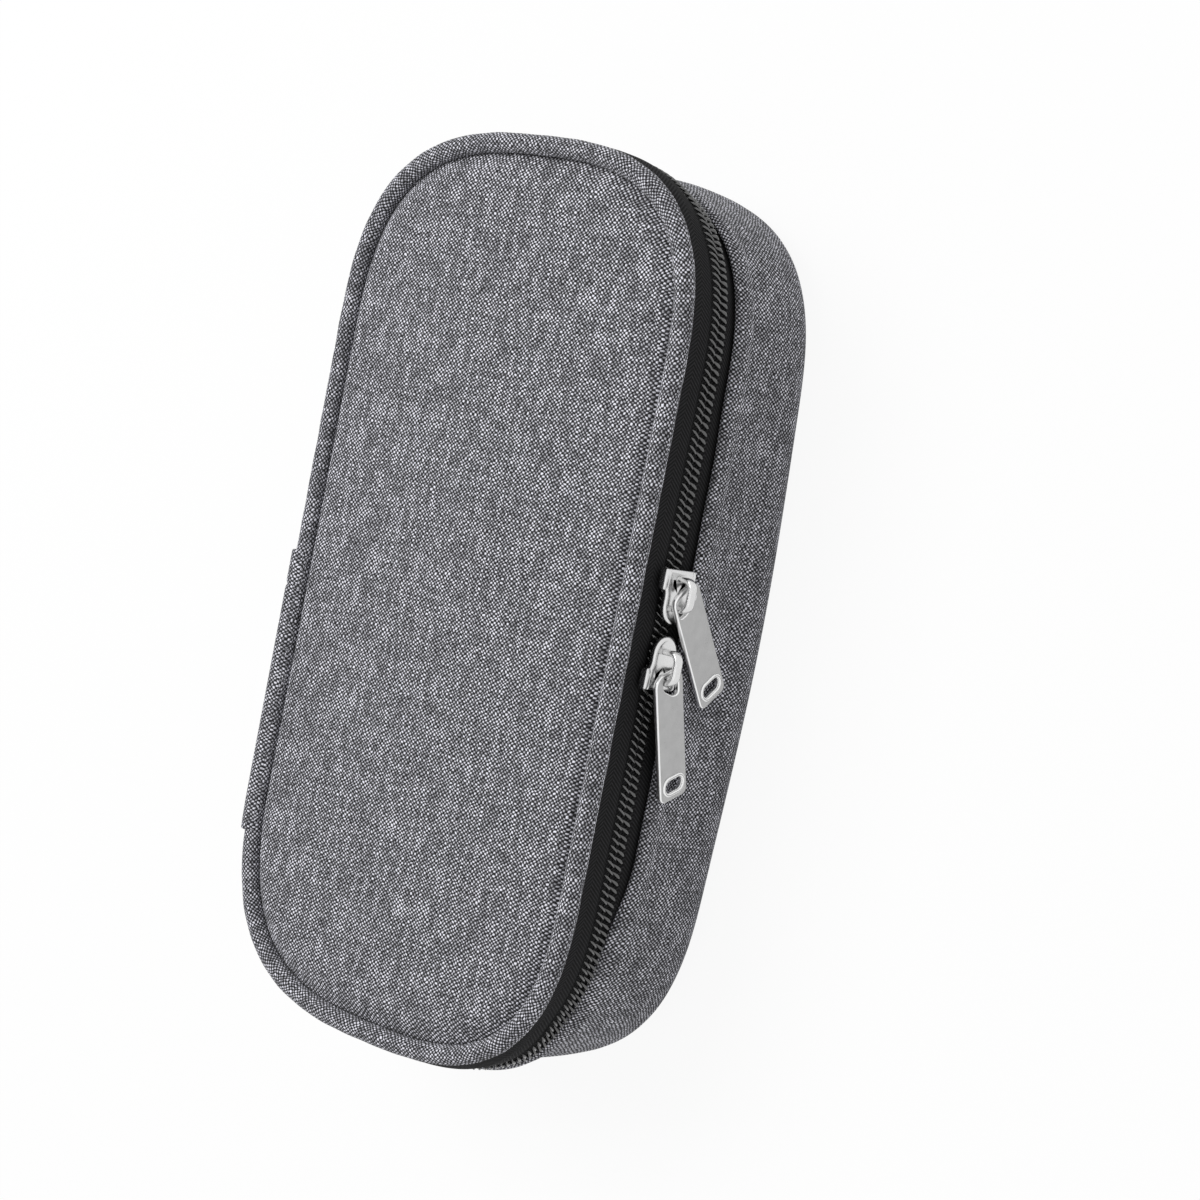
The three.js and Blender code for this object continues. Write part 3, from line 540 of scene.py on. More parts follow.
swell = -billow[:, None] * (wall["bulge"] + wall["wave"] * unevenness(run, rim.total, (5, 8, 13, 19), 3))
inHem = partWay(outZ, wall["hem"], wall["hem"] + wall["hemReach"])[:, None]
hemDip = inHem * wall["hemDip"] * (1 - unevenness(run, rim.total, (9, 14, 23), 5))
point, normal = rim.at(run)
climb = ramp(-point[:, 1], *wall["climbAlong"])  # the hem climbs over the zip's low end
climb = climb * np.clip(1 + 2 * normal[:, 0], 0, 1)
climbZ = partWay(outZ, *wall["climbUp"])[:, None] * climb
heightGrid = np.r_[outZ[:, None] - hemDip + wall["climb"] * climbZ, inZ[:, None] + 0 * run]
outGrid = outInset[:, None] + swell + wall["tuck"] * climb * inHem
insetGrid = np.r_[outGrid, inInset[:, None] + 0 * run] - standOut(run, heightGrid)
gusset = fit("sideWall", carried("sideWall", rim, run, insetGrid, heightGrid, grain="along"), heather, "base",
             ["side_gusset"])

# Back panel: a flat cloth drawn in a little along its seam
back = {"inset": 7.7}
backMesh = rings("backCloth", rim, 360, np.full(9, back["inset"]),
                 [0.9, 1.0, 1.0, 0.8, 0.5, 0.15, 0.0, 0.0, 0.0],
                 [0.3, 0.8, 0.985, 1.0, 1.002, 1.0, 0.985, 0.8, 0.3], out=standOut)
backCloth = fit("backCloth", backMesh, heather, "base", ["back_panel"])
print("base cloth made")

# Lid cloth: a low crown that dips into the seam beside the piping, with faint unevenness
lid = {"inset": 3.6, "edge": 48.4, "crown": 1.5, "dip": 2.3, "dipReach": 1.7, "uneven": 0.22}
share = np.r_[1.0, 0.985, 0.97, 0.955, 0.94, 0.92, 0.89, 0.85, 0.79, 0.72, 0.63, 0.53, 0.42, 0.3, 0.18, 0.08]
top = lid["edge"] + lid["crown"] * (1 - share ** 2) \
    - lid["dip"] * np.exp(-((1 - share) * rim.half / lid["dipReach"]) ** 2)


# Unevenness of the crown: products and sums of slow sines, fading to the seam as 1 - share^6
def lidLift(points, share):
    x, y = points[..., 0], points[..., 1]
    ripple = np.sin(x / 9.0 + 1.3 * np.sin(y / 21.0)) * np.sin(y / 13.0 + 0.7)
    ripple = ripple + np.sin(y / 31.0 + x / 17.0)
    return lid["uneven"] * ripple * (1 - share ** 6) * (points[..., 2] > lid["edge"] - 0.5)


lidMesh = rings("lidCloth", rim, 520, np.full(len(share) + 3, lid["inset"]), np.r_[47.6, 47.4, 46.2, top],
                np.r_[0.3, 0.93, 0.99, share], lift=lidLift)
lidCloth = fit("lidCloth", lidMesh, heather, "lid", ["lid_panel"])

# Piping: cloth rolled round a cord, slightly uneven
piping = {"radius": 2.25, "height": 47.05, "uneven": 0.07}
run = rim.runs(900)
around = 2 * np.pi * np.arange(20)[:, None] / 20
radius = piping["radius"] - piping["uneven"] + piping["uneven"] * unevenness(run, rim.total, (31, 47, 71), 8)
pipingMesh = carried("lidPiping", rim, run, piping["radius"] - radius * np.cos(around),
                     piping["height"] + radius * np.sin(around))
lidPiping = fit("lidPiping", pipingMesh, heather, "lid", ["lid_piping"])
print("lid cloth and piping made")

# Zip tapes: a thin strip, hollowed a little, that steps in behind the coil
tape = {"thick": 0.5}
run = np.linspace(zipStart, zipEnd, 560)


# Strip: a profile that stands out with the base's slack, and the same profile a thickness further in
def tapeStrip(name, inset, height, body, node):
    height = np.array(height)[:, None] + 0 * run
    inset = np.array(inset)[:, None] - standOut(run, height)
    mesh = carried(name, rim, run, np.r_[inset, inset[::-1] + tape["thick"]], np.r_[height, height[::-1]],
                   closed=False, sharp=50)
    return fit(name, mesh, zipTape, body, [node])


lidTape = tapeStrip("lidTape", [2.1, 1.95, 2.05, 2.1, 2.1, 2.3, 2.65, 2.75],
                    [45.4, 44.2, 42.0, 40.0, 38.3, 37.6, 36.9, 34.95], "lid", "lid_zip_tape")
baseTape = tapeStrip("baseTape", [2.1, 2.0, 2.05, 2.3, 2.65, 2.75],
                     [27.3, 29.0, 31.2, 31.9, 32.6, 34.55], "base", "base_zip_tape")

# Coil: each tooth is a bead that leans along the zip as it nears the parting line; on the lid's row it is
# even and stands out, on the base's row it has a round head and a thin sunken tip; the rows stand half a
# step apart
coil = {"pitch": 1.6, "lean": 1.75, "row": 2.7, "cross": 0.1, "thick": 0.34, "inset": 2.3, "bow": 0.55,
        "head": 0.46, "tip": 0.2, "sink": 0.75}


def coilTeeth(name, up, body, node):
    count = int((zipEnd - zipStart) / coil["pitch"]) - 1
    start = zipStart + coil["pitch"] * (np.arange(count)[:, None, None] + (0.75 if up > 0 else 1.25))
    along = np.linspace(0, 1, 7)[None, :, None]
    around = 2 * np.pi * np.arange(7)[None, None, :] / 7
    rounded = np.sqrt(1.04 - (2 * along - 1) ** 6)
    if up > 0:
        thick, sunk = coil["thick"] * rounded, -coil["bow"] * np.sin(np.pi * (0.15 + 0.7 * along))
    else:
        ball = np.clip(1 - (along / 0.36 - 1) ** 2, 0, 1) ** 0.5
        thick = coil["tip"] * rounded + (coil["head"] - coil["tip"]) * ball
        sunk = coil["sink"] * along - coil["bow"] * ball
    lean = -up * coil["lean"] * (along - 0.5) + thick * np.cos(around)
    height = case["zip"] + up * (coil["row"] - (coil["row"] + coil["cross"]) * along)
    inset = coil["inset"] + sunk - thick * np.sin(around) - standOut(start, height)
    points = rim.place(start + lean, inset, height)
    fit(name, surfaceMesh(name, points, closeCols=True, caps=True), nylon, body, [node])


coilTeeth("lidCoil", 1, "lid", "lid_zip_coil")
coilTeeth("baseCoil", -1, "base", "base_zip_coil")
print("zip made")

# Spine: one cloth from the gusset, bowed out past the zip line, then turned over the piping in half an
# ellipse and tucked into the lid's seam; a cross seam near its upper end, and ends that close in half a round
spine = {"foot": 25.8, "shoulder": 46.6, "proud": 1.4, "bow": 0.8, "thick": 0.9, "pucker": 0.14, "over": 3.0,
         "top": 2.9, "tuck": 150, "seamAt": 7.0, "seamDepth": 0.3, "endReach": 4.0}
part = np.linspace(0, 1, 22)[:, None]
curl = np.radians(np.linspace(0, spine["tuck"], 13))[1:, None]
curve = spine["thick"] / 2 * (1 - np.cos(np.linspace(0, np.pi / 2, 6)))
run = np.r_[curve - case["spineTop"], np.linspace(1 - case["spineTop"], spineEnd - 1, 230),
            spineEnd - curve[::-1]]
fromEnd = np.minimum(run - run[0], run[-1] - run)
ends = partWay(fromEnd, 0, spine["endReach"])
halfThick = spine["thick"] / 2 * np.sqrt(1 - np.clip(1 - fromEnd / (spine["thick"] / 2), 0, 1) ** 2)
bow = spine["bow"] * np.sin(np.pi * part ** 3) * (0.6 + 0.4 * ends)
pucker = spine["pucker"] * np.sin(2 * np.pi * part) * np.sin(run / 3.1 + 0.6 * np.sin(run / 11.0)) * ends
seam = spine["seamDepth"] * np.exp(-((run - spine["seamAt"]) / 0.45) ** 2)


# One face of the spine: the bowed rise moved in by depth, then an ellipse smaller by depth over the piping
def spineLayer(depth):
    overPiping = spine["over"] - spine["proud"] - (spine["over"] - depth) * np.cos(curl)
    inset = np.r_[-spine["proud"] - bow + pucker, overPiping]
    inset[:len(part)] += depth
    rise = spine["foot"] + (spine["shoulder"] - spine["foot"]) * part
    return inset, np.r_[rise + 0 * run, spine["shoulder"] + (spine["top"] - depth) * np.sin(curl)]


outer, inner = (spineLayer(seam + spine["thick"] / 2 + side * halfThick) for side in (-1, 1))
insetGrid, heightGrid = (np.r_[outer[k], inner[k][::-1]] for k in (0, 1))
spineMesh = carried("spineCloth", rim, run, insetGrid, heightGrid, closed=False, sharp=60, grain="along",
                    caps=False)
weld(spineMesh, 0.02)
spineCloth = fit("spineCloth", spineMesh, heather, None, ["base_spine", "lid_spine"])
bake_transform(spineCloth)
print("spine made")


# Foam: pores as cells, painted darker at their middles as shade in the pores
def foamFinish(name):
    foam = Finish(name, Roughness=0.95, Specular_IOR_Level=0.2)
    pores = foam.node("ShaderNodeTexVoronoi", None, {"Vector": foam.place(), "Scale": 900.0})
    # painted shade: the cell distance darkens each pore towards its middle
    foam.give(Base_Color=foam.blend(pores, (0.5, 0.49, 0.46, 1.0), (0.74, 0.73, 0.7, 1.0)))
    foam.ridge(pores, 0.5, 0.2)
    return foam.material


foamPad = foamFinish("foamPad")

# Foam between cloth and foil: a tray with a quarter-round back edge in the base, and a slab in the lid
pad = {"out": 1.35, "in": 4.25, "top": 26.1, "round": 7.5}
quarter = np.linspace(np.pi / 2, 0, 6)
arc = lambda offset: (pad["round"] - (pad["round"] - offset) * np.cos(quarter),
                      pad["round"] - (pad["round"] - offset) * np.sin(quarter))
(outX, outY), (inX, inY) = arc(pad["out"]), arc(pad["in"])
padInset = np.r_[pad["round"], outX, pad["out"], pad["out"] + 0.3, pad["in"] - 0.3, pad["in"], inX[::-1],
                 pad["round"]]
padZ = np.r_[pad["out"], outY, pad["top"] - 0.4, pad["top"], pad["top"], pad["top"] - 0.4, inY[::-1],
             pad["in"]]
padShare = np.r_[0.5, np.ones(len(padInset) - 2), 0.5]
padMesh = rings("baseFoam", rim, 240, padInset, padZ, padShare, out=standOut)
baseFoam = fit("baseFoam", padMesh, foamPad, "base", ["base_foam"])
slabMesh = rings("lidFoam", rim, 240, np.full(6, 7.0), [44.75, 44.75, 45.1, 46.8, 47.2, 47.25],
                 [0.5, 0.99, 1.0, 1.0, 0.98, 0.5])
lidFoam = fit("lidFoam", slabMesh, foamPad, "lid", ["lid_foam"])


# Crumpled foil: folded sines of several directions, each a field of straight creases, from 0 to 1
def creases(a, b, seed, size, count=7):
    chance = np.random.default_rng(seed)
    angle = chance.uniform(0, np.pi, count)
    reach = size * chance.uniform(0.6, 1.8, count)
    phase = chance.uniform(0, 2 * np.pi, count)
    folds = [np.abs(np.sin((a * np.cos(w) + b * np.sin(w)) / r + p))
             for w, r, p in zip(angle, reach, phase)]
    return np.clip(np.prod(np.array(folds[:3]), 0) * 0.9 + np.mean(folds[3:], 0) - 0.25, 0, 1)


# Foil: bright metal, its gloss broken by fine crumpling
def foilFinish(name):
    foil = Finish(name, Metallic=1.0)
    where = foil.place()
    cells = foil.node("ShaderNodeTexVoronoi", {"feature": "F1"}, {"Vector": where, "Scale": 210.0})
    crumple = foil.noise(where, 160.0, 5.0, noise_type="RIDGED_MULTIFRACTAL")
    foil.give(Base_Color=foil.blend(crumple, (0.62, 0.63, 0.65, 1.0), (0.86, 0.87, 0.88, 1.0)),
              Roughness=0.12 + 0.16 * cells)
    foil.ridge(crumple * 0.7 + cells, 0.55, 0.9)
    return foil.material


foil = foilFinish("crumpledFoil")

# Base foil: a crumpled wall from the lip down to the floor, and the same a thickness further out
tray = {"thick": 0.35, "wallCrumple": 1.1, "floorCrumple": 0.22, "crease": 3.4}
run = rim.runs(560)
wallDown = np.linspace(26.4, 8.0, 12)
floorTurn = np.linspace(0, np.pi / 2, 6)[1:]
foilInset = np.r_[3.25, 3.2, 3.4, 4.2, 5.0, 0 * wallDown + 5.15, 7.5 - 2.35 * np.cos(floorTurn)]
foilZ = np.r_[31.6, 30.2, 28.8, 27.6, 26.9, wallDown, 7.5 - 2.4 * np.sin(floorTurn)]
free = np.minimum(partWay(foilZ, 5.5, 9.5), partWay(foilZ, 31.6, 29.1))
shape = creases(run[None, :], foilZ[:, None], 11, tray["crease"])
foilInset = foilInset[:, None] + tray["wallCrumple"] * free[:, None] * shape - standOut(run, foilZ[:, None])
inner = rim.place(run[None, :], foilInset, foilZ[:, None])
ringShare = np.array([0.95, 0.85, 0.7, 0.5, 0.25])[:, None, None]
floorPart = inner[-1:] * np.r_[1, 1, 0] * ringShare + np.r_[0, 0, 5.1]
floorPart[..., 2] -= tray["floorCrumple"] * creases(floorPart[..., 0], floorPart[..., 1], 12, 5.0)
inner = np.r_[inner, floorPart]
outwards = rim.place(run[None, :], foilInset - tray["thick"], foilZ[:, None])
under = floorPart - np.r_[0, 0, tray["thick"]]
foilGrid = np.r_[under[::-1], outwards[::-1], inner]
baseFoil = fit("baseFoil", surfaceMesh("baseFoil", foilGrid, closeCols=True, caps=True), foil, "base",
               ["base_liner"])

# Lid foil: a low wall and a ceiling that is crumpled most beside the gel pack
lidWall = np.array([37.9, 39.0, 40.4, 41.8, 42.9])
lidInset = np.r_[0 * lidWall + 3.35, 3.7, 4.6]
lidZ = np.r_[lidWall, 43.6, 43.85]
free = partWay(lidZ, 37.9, 39.4) * partWay(lidZ, 44.2, 43.2)
shape = creases(run[None, :], lidZ[:, None], 21, tray["crease"])
lidInset = lidInset[:, None] + tray["wallCrumple"] * free[:, None] * shape
inner = rim.place(run[None, :], lidInset, lidZ[:, None])
ringShare = np.array([0.97, 0.93, 0.89, 0.85, 0.8, 0.74, 0.6, 0.4, 0.2])[:, None, None]
ceiling = inner[-1:] * np.r_[1, 1, 0] * ringShare + np.r_[0, 0, 43.9]
beside = partWay(np.abs(ceiling[..., 0]), 31.5, 34.5) + partWay(np.abs(ceiling[..., 1]), 75.5, 78.5)
crumpled = creases(ceiling[..., 0], ceiling[..., 1], 22, 3.6)
ceiling[..., 2] -= (0.1 + 1.3 * np.clip(beside, 0, 1)) * crumpled
inner = np.r_[inner, ceiling]
outwards = rim.place(run[None, :], lidInset - tray["thick"], np.minimum(lidZ[:, None] + 0.05, 44.3))
over = ceiling * np.r_[1, 1, 0] + np.r_[0, 0, 44.35]
foilGrid = np.r_[over[::-1], outwards[::-1], inner]
lidFoil = fit("lidFoil", surfaceMesh("lidFoil", foilGrid, closeCols=True, caps=True), foil, "lid",
              ["lid_liner"])
print("foam and foil made")


# Gel pack film: dark blue, glossy, finely wrinkled
def filmFinish(name):
    film = Finish(name, Coat_Weight=0.25, Coat_Roughness=0.2, Specular_IOR_Level=0.4)
    where = film.place()
    wrinkle = film.noise(where, 130.0, 5.0, noise_type="RIDGED_MULTIFRACTAL")
    cloud = film.noise(where, 40.0, 3.0)
    film.give(Base_Color=film.blend(cloud, (0.008, 0.014, 0.075, 1.0), (0.018, 0.035, 0.16, 1.0)),
              Roughness=0.32 + 0.2 * cloud)
    film.ridge(wrinkle, 0.3, 0.5)
    return film.material


film = filmFinish("gelFilm")


# Pack: two films welded in a flat rim, swelling as 1 - share^4 inside it, with puckers that run in from
# the weld
def gelPack(name, node, body, pack):
    low, high = span(node)
    middle, thick = (low + high) / 2, high[2] - low[2]
    outline = Outline((high - low)[0] / 2, (high - low)[1], 26.0, 3.0)
    share = np.r_[0.08, 0.25, 0.42, 0.56, 0.68, 0.77, 0.84, 0.89, 0.925, 0.955, 0.98, 1.0]
    swell = 0.2 + (thick / 2 - 0.25) * np.clip(1 - (share / 0.94) ** 4, 0, 1)
    edge = outline.at(outline.runs(300))[0]
    turn = np.arctan2(edge[:, 1], edge[:, 0])
    pucker = np.sin(pack["puckers"] * turn + 2 * np.sin(5 * turn + pack["seed"]))

    def lift(points, share):
        side = np.sign(points[..., 2] - middle[2])
        dent = np.exp(-((share - 0.86) / 0.07) ** 2) * (0.5 + 0.5 * pucker)
        sag = np.clip(1 - share ** 2, 0, 1) * creases(points[..., 0], points[..., 1], pack["seed"], 9.0)
        swollen = np.abs(points[..., 2] - middle[2]) > 0.25
        return -side * (pack["dent"] * dent + pack["slack"] * sag) * swollen

    mesh = rings(name, outline, 300, np.zeros(24), middle[2] + np.r_[-swell, swell[::-1]],
                 np.r_[share, share[::-1]], shift=middle[:2], lift=lift)
    made = fit(name, mesh, film, body, [node])


gelPack("basePack", "base_ice_pack", "base", {"puckers": 46, "dent": 0.16, "slack": 0.35, "seed": 2})
gelPack("pocketPack", "pocket_ice_pack", "base", {"puckers": 52, "dent": 0.16, "slack": 0.5, "seed": 5})
gelPack("lidPack", "lid_ice_pack", "lid", {"puckers": 49, "dent": 0.16, "slack": 0.35, "seed": 9})
print("gel packs made")


# Plain woven lining: fine yarns, a soft sheen and faint cloudiness
def liningCloth(name):
    cloth = Finish(name, Roughness=0.6, Sheen_Weight=0.4, Sheen_Roughness=0.4, Specular_IOR_Level=0.35)
    u, v = cloth.cloth()
    crown = (u * (np.pi / 0.34)).sin() * (v * (np.pi / 0.34)).sin()
    cloud = cloth.noise(cloth.spot(u, v), 0.07, 3.0)
    tone = crown * 0.25 + cloud * 0.6 + 0.2
    cloth.give(Base_Color=cloth.blend(tone, (0.2, 0.235, 0.35, 1.0), (0.36, 0.4, 0.53, 1.0)))
    cloth.ridge(crown + cloud * 3.0, 0.3, 0.12)
    return cloth.material


# Black ribbed binding: ribs across the tape and a lighter fuzz on their crowns
def bindingCloth(name):
    cloth = Finish(name, Roughness=0.8, Sheen_Weight=0.2, Specular_IOR_Level=0.3)
    u, v = cloth.cloth()
    rib = (u * (2 * np.pi / 0.9)).sin() * 0.5 + 0.5
    pick = (v * (2 * np.pi / 0.45)).sin() * 0.5 + 0.5
    fuzz = cloth.noise(cloth.spot(u, v), 1.3, 4.0)
    cloth.give(Base_Color=cloth.blend(rib * 0.5 + fuzz * 0.5, grey(0.006), grey(0.026)))
    cloth.ridge(rib + pick * 0.3, 0.5, 0.2)
    return cloth.material


# Thread and yarn: a fine noise that shades from dark to light and stands up where it is light
def yarnFinish(name, grain, dark, light, **plain):
    yarn = Finish(name, Sheen_Weight=0.2, **plain)
    twist = yarn.noise(yarn.place(), grain, 3.0)
    yarn.give(Base_Color=yarn.blend(twist, dark, light))
    yarn.ridge(twist, 0.4, 0.1)
    return yarn.material


# Light elastic: ribs along the band, with short cross yarns between them
def elasticCloth(name):
    cloth = Finish(name, Roughness=0.75, Sheen_Weight=0.3, Specular_IOR_Level=0.3)
    u, v = cloth.cloth()
    rib = (v * (2 * np.pi / 1.0)).sin() * 0.5 + 0.5
    yarn = ((u + (v / 1.0).floor() * 0.35) * (2 * np.pi / 0.7)).sin() * 0.5 + 0.5
    cloud = cloth.noise(cloth.spot(u, v), 0.3, 3.0)
    tone = rib * 0.45 + yarn * 0.3 + cloud * 0.25
    cloth.give(Base_Color=cloth.blend(tone, grey(0.2, 1.04), grey(0.46, 1.04)))
    cloth.ridge(rib + yarn * 0.5, 0.5, 0.2)
    return cloth.material


lining = liningCloth("liningCloth")
bindingTape = bindingCloth("bindingTape")
blackThread = yarnFinish("blackThread", 2500.0, grey(0.012), grey(0.05), Roughness=0.6)
greyThread = yarnFinish("greyThread", 2500.0, grey(0.22), grey(0.4), Roughness=0.6)
elastic = elasticCloth("elasticBand")
netting = yarnFinish("netYarn", 1800.0, grey(0.16, 1.06), grey(0.34, 1.06), Roughness=0.7,
                     Specular_IOR_Level=0.35)

# Leaves: flat cloth held in the binding's slot, with a slight billow
leaf = {"inset": 9.5, "within": 0.12, "billow": 0.12, "pocketInset": 15.3, "swell": 6.0}


# Billow: a product of slow sines, fading to the binding as 1 - share^4
def leafLift(points, share):
    x, y = points[..., 0], points[..., 1]
    return leaf["billow"] * (np.sin(x / 7.0 + np.sin(y / 15.0)) * np.sin(y / 11.0)) * (1 - share ** 4)


# Two faces of rings, just inside the solid's own, that meet along the edge
def leafCloth(name, node, finish, body):
    low, high = span(node)
    share = np.r_[0.15, 0.3, 0.45, 0.6, 0.72, 0.84, 0.93, 1.0]
    height = np.r_[0 * share + low[2] + leaf["within"], 0 * share + high[2] - leaf["within"]]
    mesh = rings(name, rim, 240, np.full(16, leaf["inset"]), height, np.r_[share, share[::-1]],
                 lift=leafLift, sharp=60)
    made = fit(name, mesh, finish, body, [node])


leafCloth("lowerLeaf", "lower_leaf", heather, "base")
leafCloth("upperLeaf", "upper_leaf", lining, "flap")


# Stitches: beads drawn out along a line and sunk at both ends; where gives a bead's place from its number,
# along the line, beside it and out of the face
def stitches(name, where, count, finish, body, length, thick):
    along = np.linspace(-1, 1, 5)[None, :, None]
    around = 2 * np.pi * np.arange(5)[None, None, :] / 5
    bead = thick * np.sqrt(1.02 - along ** 2)
    points = where(np.arange(count)[:, None, None], along * length / 2, bead * np.cos(around),
                   bead * np.sin(around) + thick * (0.55 - along ** 2))
    fit(name, surfaceMesh(name, points, closeCols=True, caps=True), finish, body, ())


# Binding: a tape folded round the leaf's edge in half a round, a little uneven in width, with a row of
# stitches on each face
fold = {"inset": 8.5, "width": 6.5, "tape": 0.6, "bend": 1.5, "lip": 2.0, "uneven": 0.25, "stitchIn": 4.9,
        "stitch": 2.3, "pitch": 3.3, "thread": 0.24}


def binding(name, node, body):
    low, high = span(node)
    under, top = low[2], high[2]
    middle, half = (under + top) / 2, (top - under) / 2
    run = rim.runs(480)
    bend = np.linspace(-np.pi / 2, np.pi / 2, 9)
    inside, centre = fold["inset"] + fold["width"], fold["inset"] + fold["bend"]
    lip, thin = inside - fold["lip"], half - fold["tape"]
    inset = np.r_[inside, lip, centre - fold["bend"] * np.cos(bend), lip, inside,
                  inside, lip, centre - (fold["bend"] - fold["tape"]) * np.cos(bend[::-1]), lip, inside]
    overTape, underTape = top - fold["tape"], under + fold["tape"]
    height = np.r_[under + 0.1, under, middle + half * np.sin(bend), top, top - 0.1,
                   overTape, overTape, middle + thin * np.sin(bend[::-1]), underTape, underTape]
    edge = np.isclose(inset, inside)[:, None] * fold["uneven"] * unevenness(run, rim.total, (17, 29, 41), 14)
    mesh = carried(name, rim, run, inset[:, None] + edge, height[:, None] + 0 * run)
    made = fit(name, mesh, bindingTape, body, [node])
    count = int((rim.total - 55) / fold["pitch"])

    def onFace(sign):
        face = top if sign > 0 else under
        return lambda k, along, side, out: rim.place(
            (k + 0.5) * rim.total / count + along, fold["inset"] + fold["stitchIn"] + side, face + sign * out)

    for sign, word in ((1, "Upper"), (-1, "Lower")):
        stitches(name + word + "Stitches", onFace(sign), count, blackThread, body, fold["stitch"],
                 fold["thread"])


binding("lowerBinding", "lower_leaf_binding", "base")
binding("upperBinding", "upper_leaf_binding", "flap")
print("leaves made")


# How far the pocket stands over its pack: 1 - gauge^6, 0 where the binding holds it
def pocketSwell(x, y):
    return np.clip(1 - rim.gauge(x, y, leaf["pocketInset"]) ** leaf["swell"], 0, 1)


# Net: rows of six-sided meshes; each is a ring between its own outline and a smaller rounded gap
net = {"pitch": 2.5, "gap": 0.72, "thick": 0.3, "edge": 12.5, "open": 20.5}


# Net over a pocket: the meshes inside the binding and below the open edge, raised by the pocket's swell
def pocketNet(name, node, body, height, rise):
    i, j = np.meshgrid(np.arange(-22, 23), np.arange(-46, 20))
    x, y = net["pitch"] * (i + 0.5 * (j % 2)), net["pitch"] * 0.8660 * j
    kept = (rim.gauge(x, y, net["edge"]) < 1) & (y < net["open"])
    x, y = x[kept][:, None, None], y[kept][:, None, None]
    corner = np.pi / 6 + np.pi / 3 * np.arange(6)[None, None, :]
    reach = net["pitch"] / np.sqrt(3) * np.array([1.0, net["gap"]])[None, :, None]
    px, py = x + reach * np.cos(corner), y + reach * np.sin(corner)
    points = np.stack([px, py, height + rise * pocketSwell(px, py)], -1)
    mesh = surfaceMesh(name, points, closeCols=True)
    weld(mesh, 0.02)
    made = fit(name, mesh, netting, body, [node])
    yarn = made.modifiers.new("yarn", "SOLIDIFY")
    yarn.thickness, yarn.offset = net["thick"] * mm, 0.0
    return made


halfNet = 0.25  # from a face of the pocket's solid to the net's middle
lowerNetZ, upperNetZ = (span(node)[0][2] + halfNet for node in ("lower_mesh_pocket", "upper_mesh_pocket"))
pocketRise = span("lower_mesh_pocket")[1][2] - lowerNetZ - halfNet
lowerPocket = pocketNet("lowerPocket", "lower_mesh_pocket", "base", lowerNetZ, pocketRise)
upperPocket = pocketNet("upperPocket", "upper_mesh_pocket", "flap", upperNetZ, 0.0)

# Elastic bands across the pockets' open edges, with rolled long edges and two rows of stitches
band = {"y": 18.0, "half": 4.0, "reach": 33.6, "thick": 0.8, "gather": 0.12, "girth": 17.6, "pitch": 2.6,
        "rows": 2.7, "stitch": 1.9, "thread": 0.2}


# Strip along x: a squared circle for its section, lifted by the pocket's swell, its faces gathered by a sine
def elasticStrip(name, node, body, outward, rise):
    low, high = span(node)
    base = low[2] if outward > 0 else high[2]
    x = np.linspace(-band["reach"], band["reach"], 160)
    turn = 2 * np.pi * np.arange(20)[:, None] / 20
    across = band["y"] + band["half"] * signedPower(np.cos(turn), 0.25)
    lift = band["thick"] / 2 * signedPower(np.sin(turn), 0.6)
    height = base + outward * (band["thick"] / 2 + rise * pocketSwell(x, band["y"])) + lift
    gather = band["gather"] * np.sin(x / 0.55) * np.abs(np.cos(turn)) ** 2
    points = np.stack([x + 0 * across, across + 0 * x, height + 0 * turn + gather * (np.abs(lift) > 0.1)], -1)
    uv = np.stack(np.meshgrid(x, np.linspace(0, band["girth"], 21)), -1)
    mesh = surfaceMesh(name, points.transpose(1, 0, 2), uv.transpose(1, 0, 2), closeCols=True, caps=True)
    made = fit(name, mesh, elastic, body, [node])
    count = int(2 * band["reach"] / band["pitch"])
    for word, y in (("Near", band["y"] - band["rows"]), ("Far", band["y"] + band["rows"])):
        def where(k, along, side, out, y=y):
            x = -band["reach"] + (k + 0.5) * band["pitch"] + along + 0 * side
            z = base + outward * (band["thick"] + rise * pocketSwell(x, band["y"]) + out)
            return np.stack(np.broadcast_arrays(x, y + side, z), -1)
        stitches(name + word + "Stitches", where, count, greyThread, body, band["stitch"], band["thread"])
    return made


lowerBand = elasticStrip("lowerBand", "lower_elastic_band", "base", 1, pocketRise)
upperBand = elasticStrip("upperBand", "upper_elastic_band", "flap", -1, 0.0)

# Fold of lining between the leaves, bowed to the wall by a sine and rippled
crease = {"half": 45.0, "ripple": 0.35, "thick": 0.6, "bow": 1.4, "clear": 0.75}
low, high = span("organizer_fold")
rise = np.linspace(low[2], high[2], 18)
part = (rise - low[2]) / (high[2] - low[2])
y = np.linspace(-crease["half"], crease["half"], 90)
bow = high[0] - crease["clear"] - crease["bow"] * np.sin(np.pi * part)
ripple = crease["ripple"] * np.sin(np.pi * part)[:, None] * np.sin(y / 4.2 + 1.1 * np.sin(y / 13.0))
outer = np.clip(bow[:, None] + ripple, low[0], None)
sheetX = np.r_[outer, outer[::-1] + crease["thick"]]
sheetZ = np.r_[rise, rise[::-1]][:, None] + 0 * y
points = np.stack([sheetX, y + 0 * sheetX, sheetZ], -1).transpose(1, 0, 2)
girth = profileLength(np.r_[sheetX[:, 0], sheetX[0, 0]], np.r_[sheetZ[:, 0], sheetZ[0, 0]])
uv = np.stack(np.meshgrid(y, girth), -1).transpose(1, 0, 2)
foldMesh = surfaceMesh("leafFold", points, uv, closeCols=True, caps=True, sharp=60)
leafFold = fit("leafFold", foldMesh, lining, None, ["organizer_fold"])
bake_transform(leafFold)
print("pockets, bands and fold made")


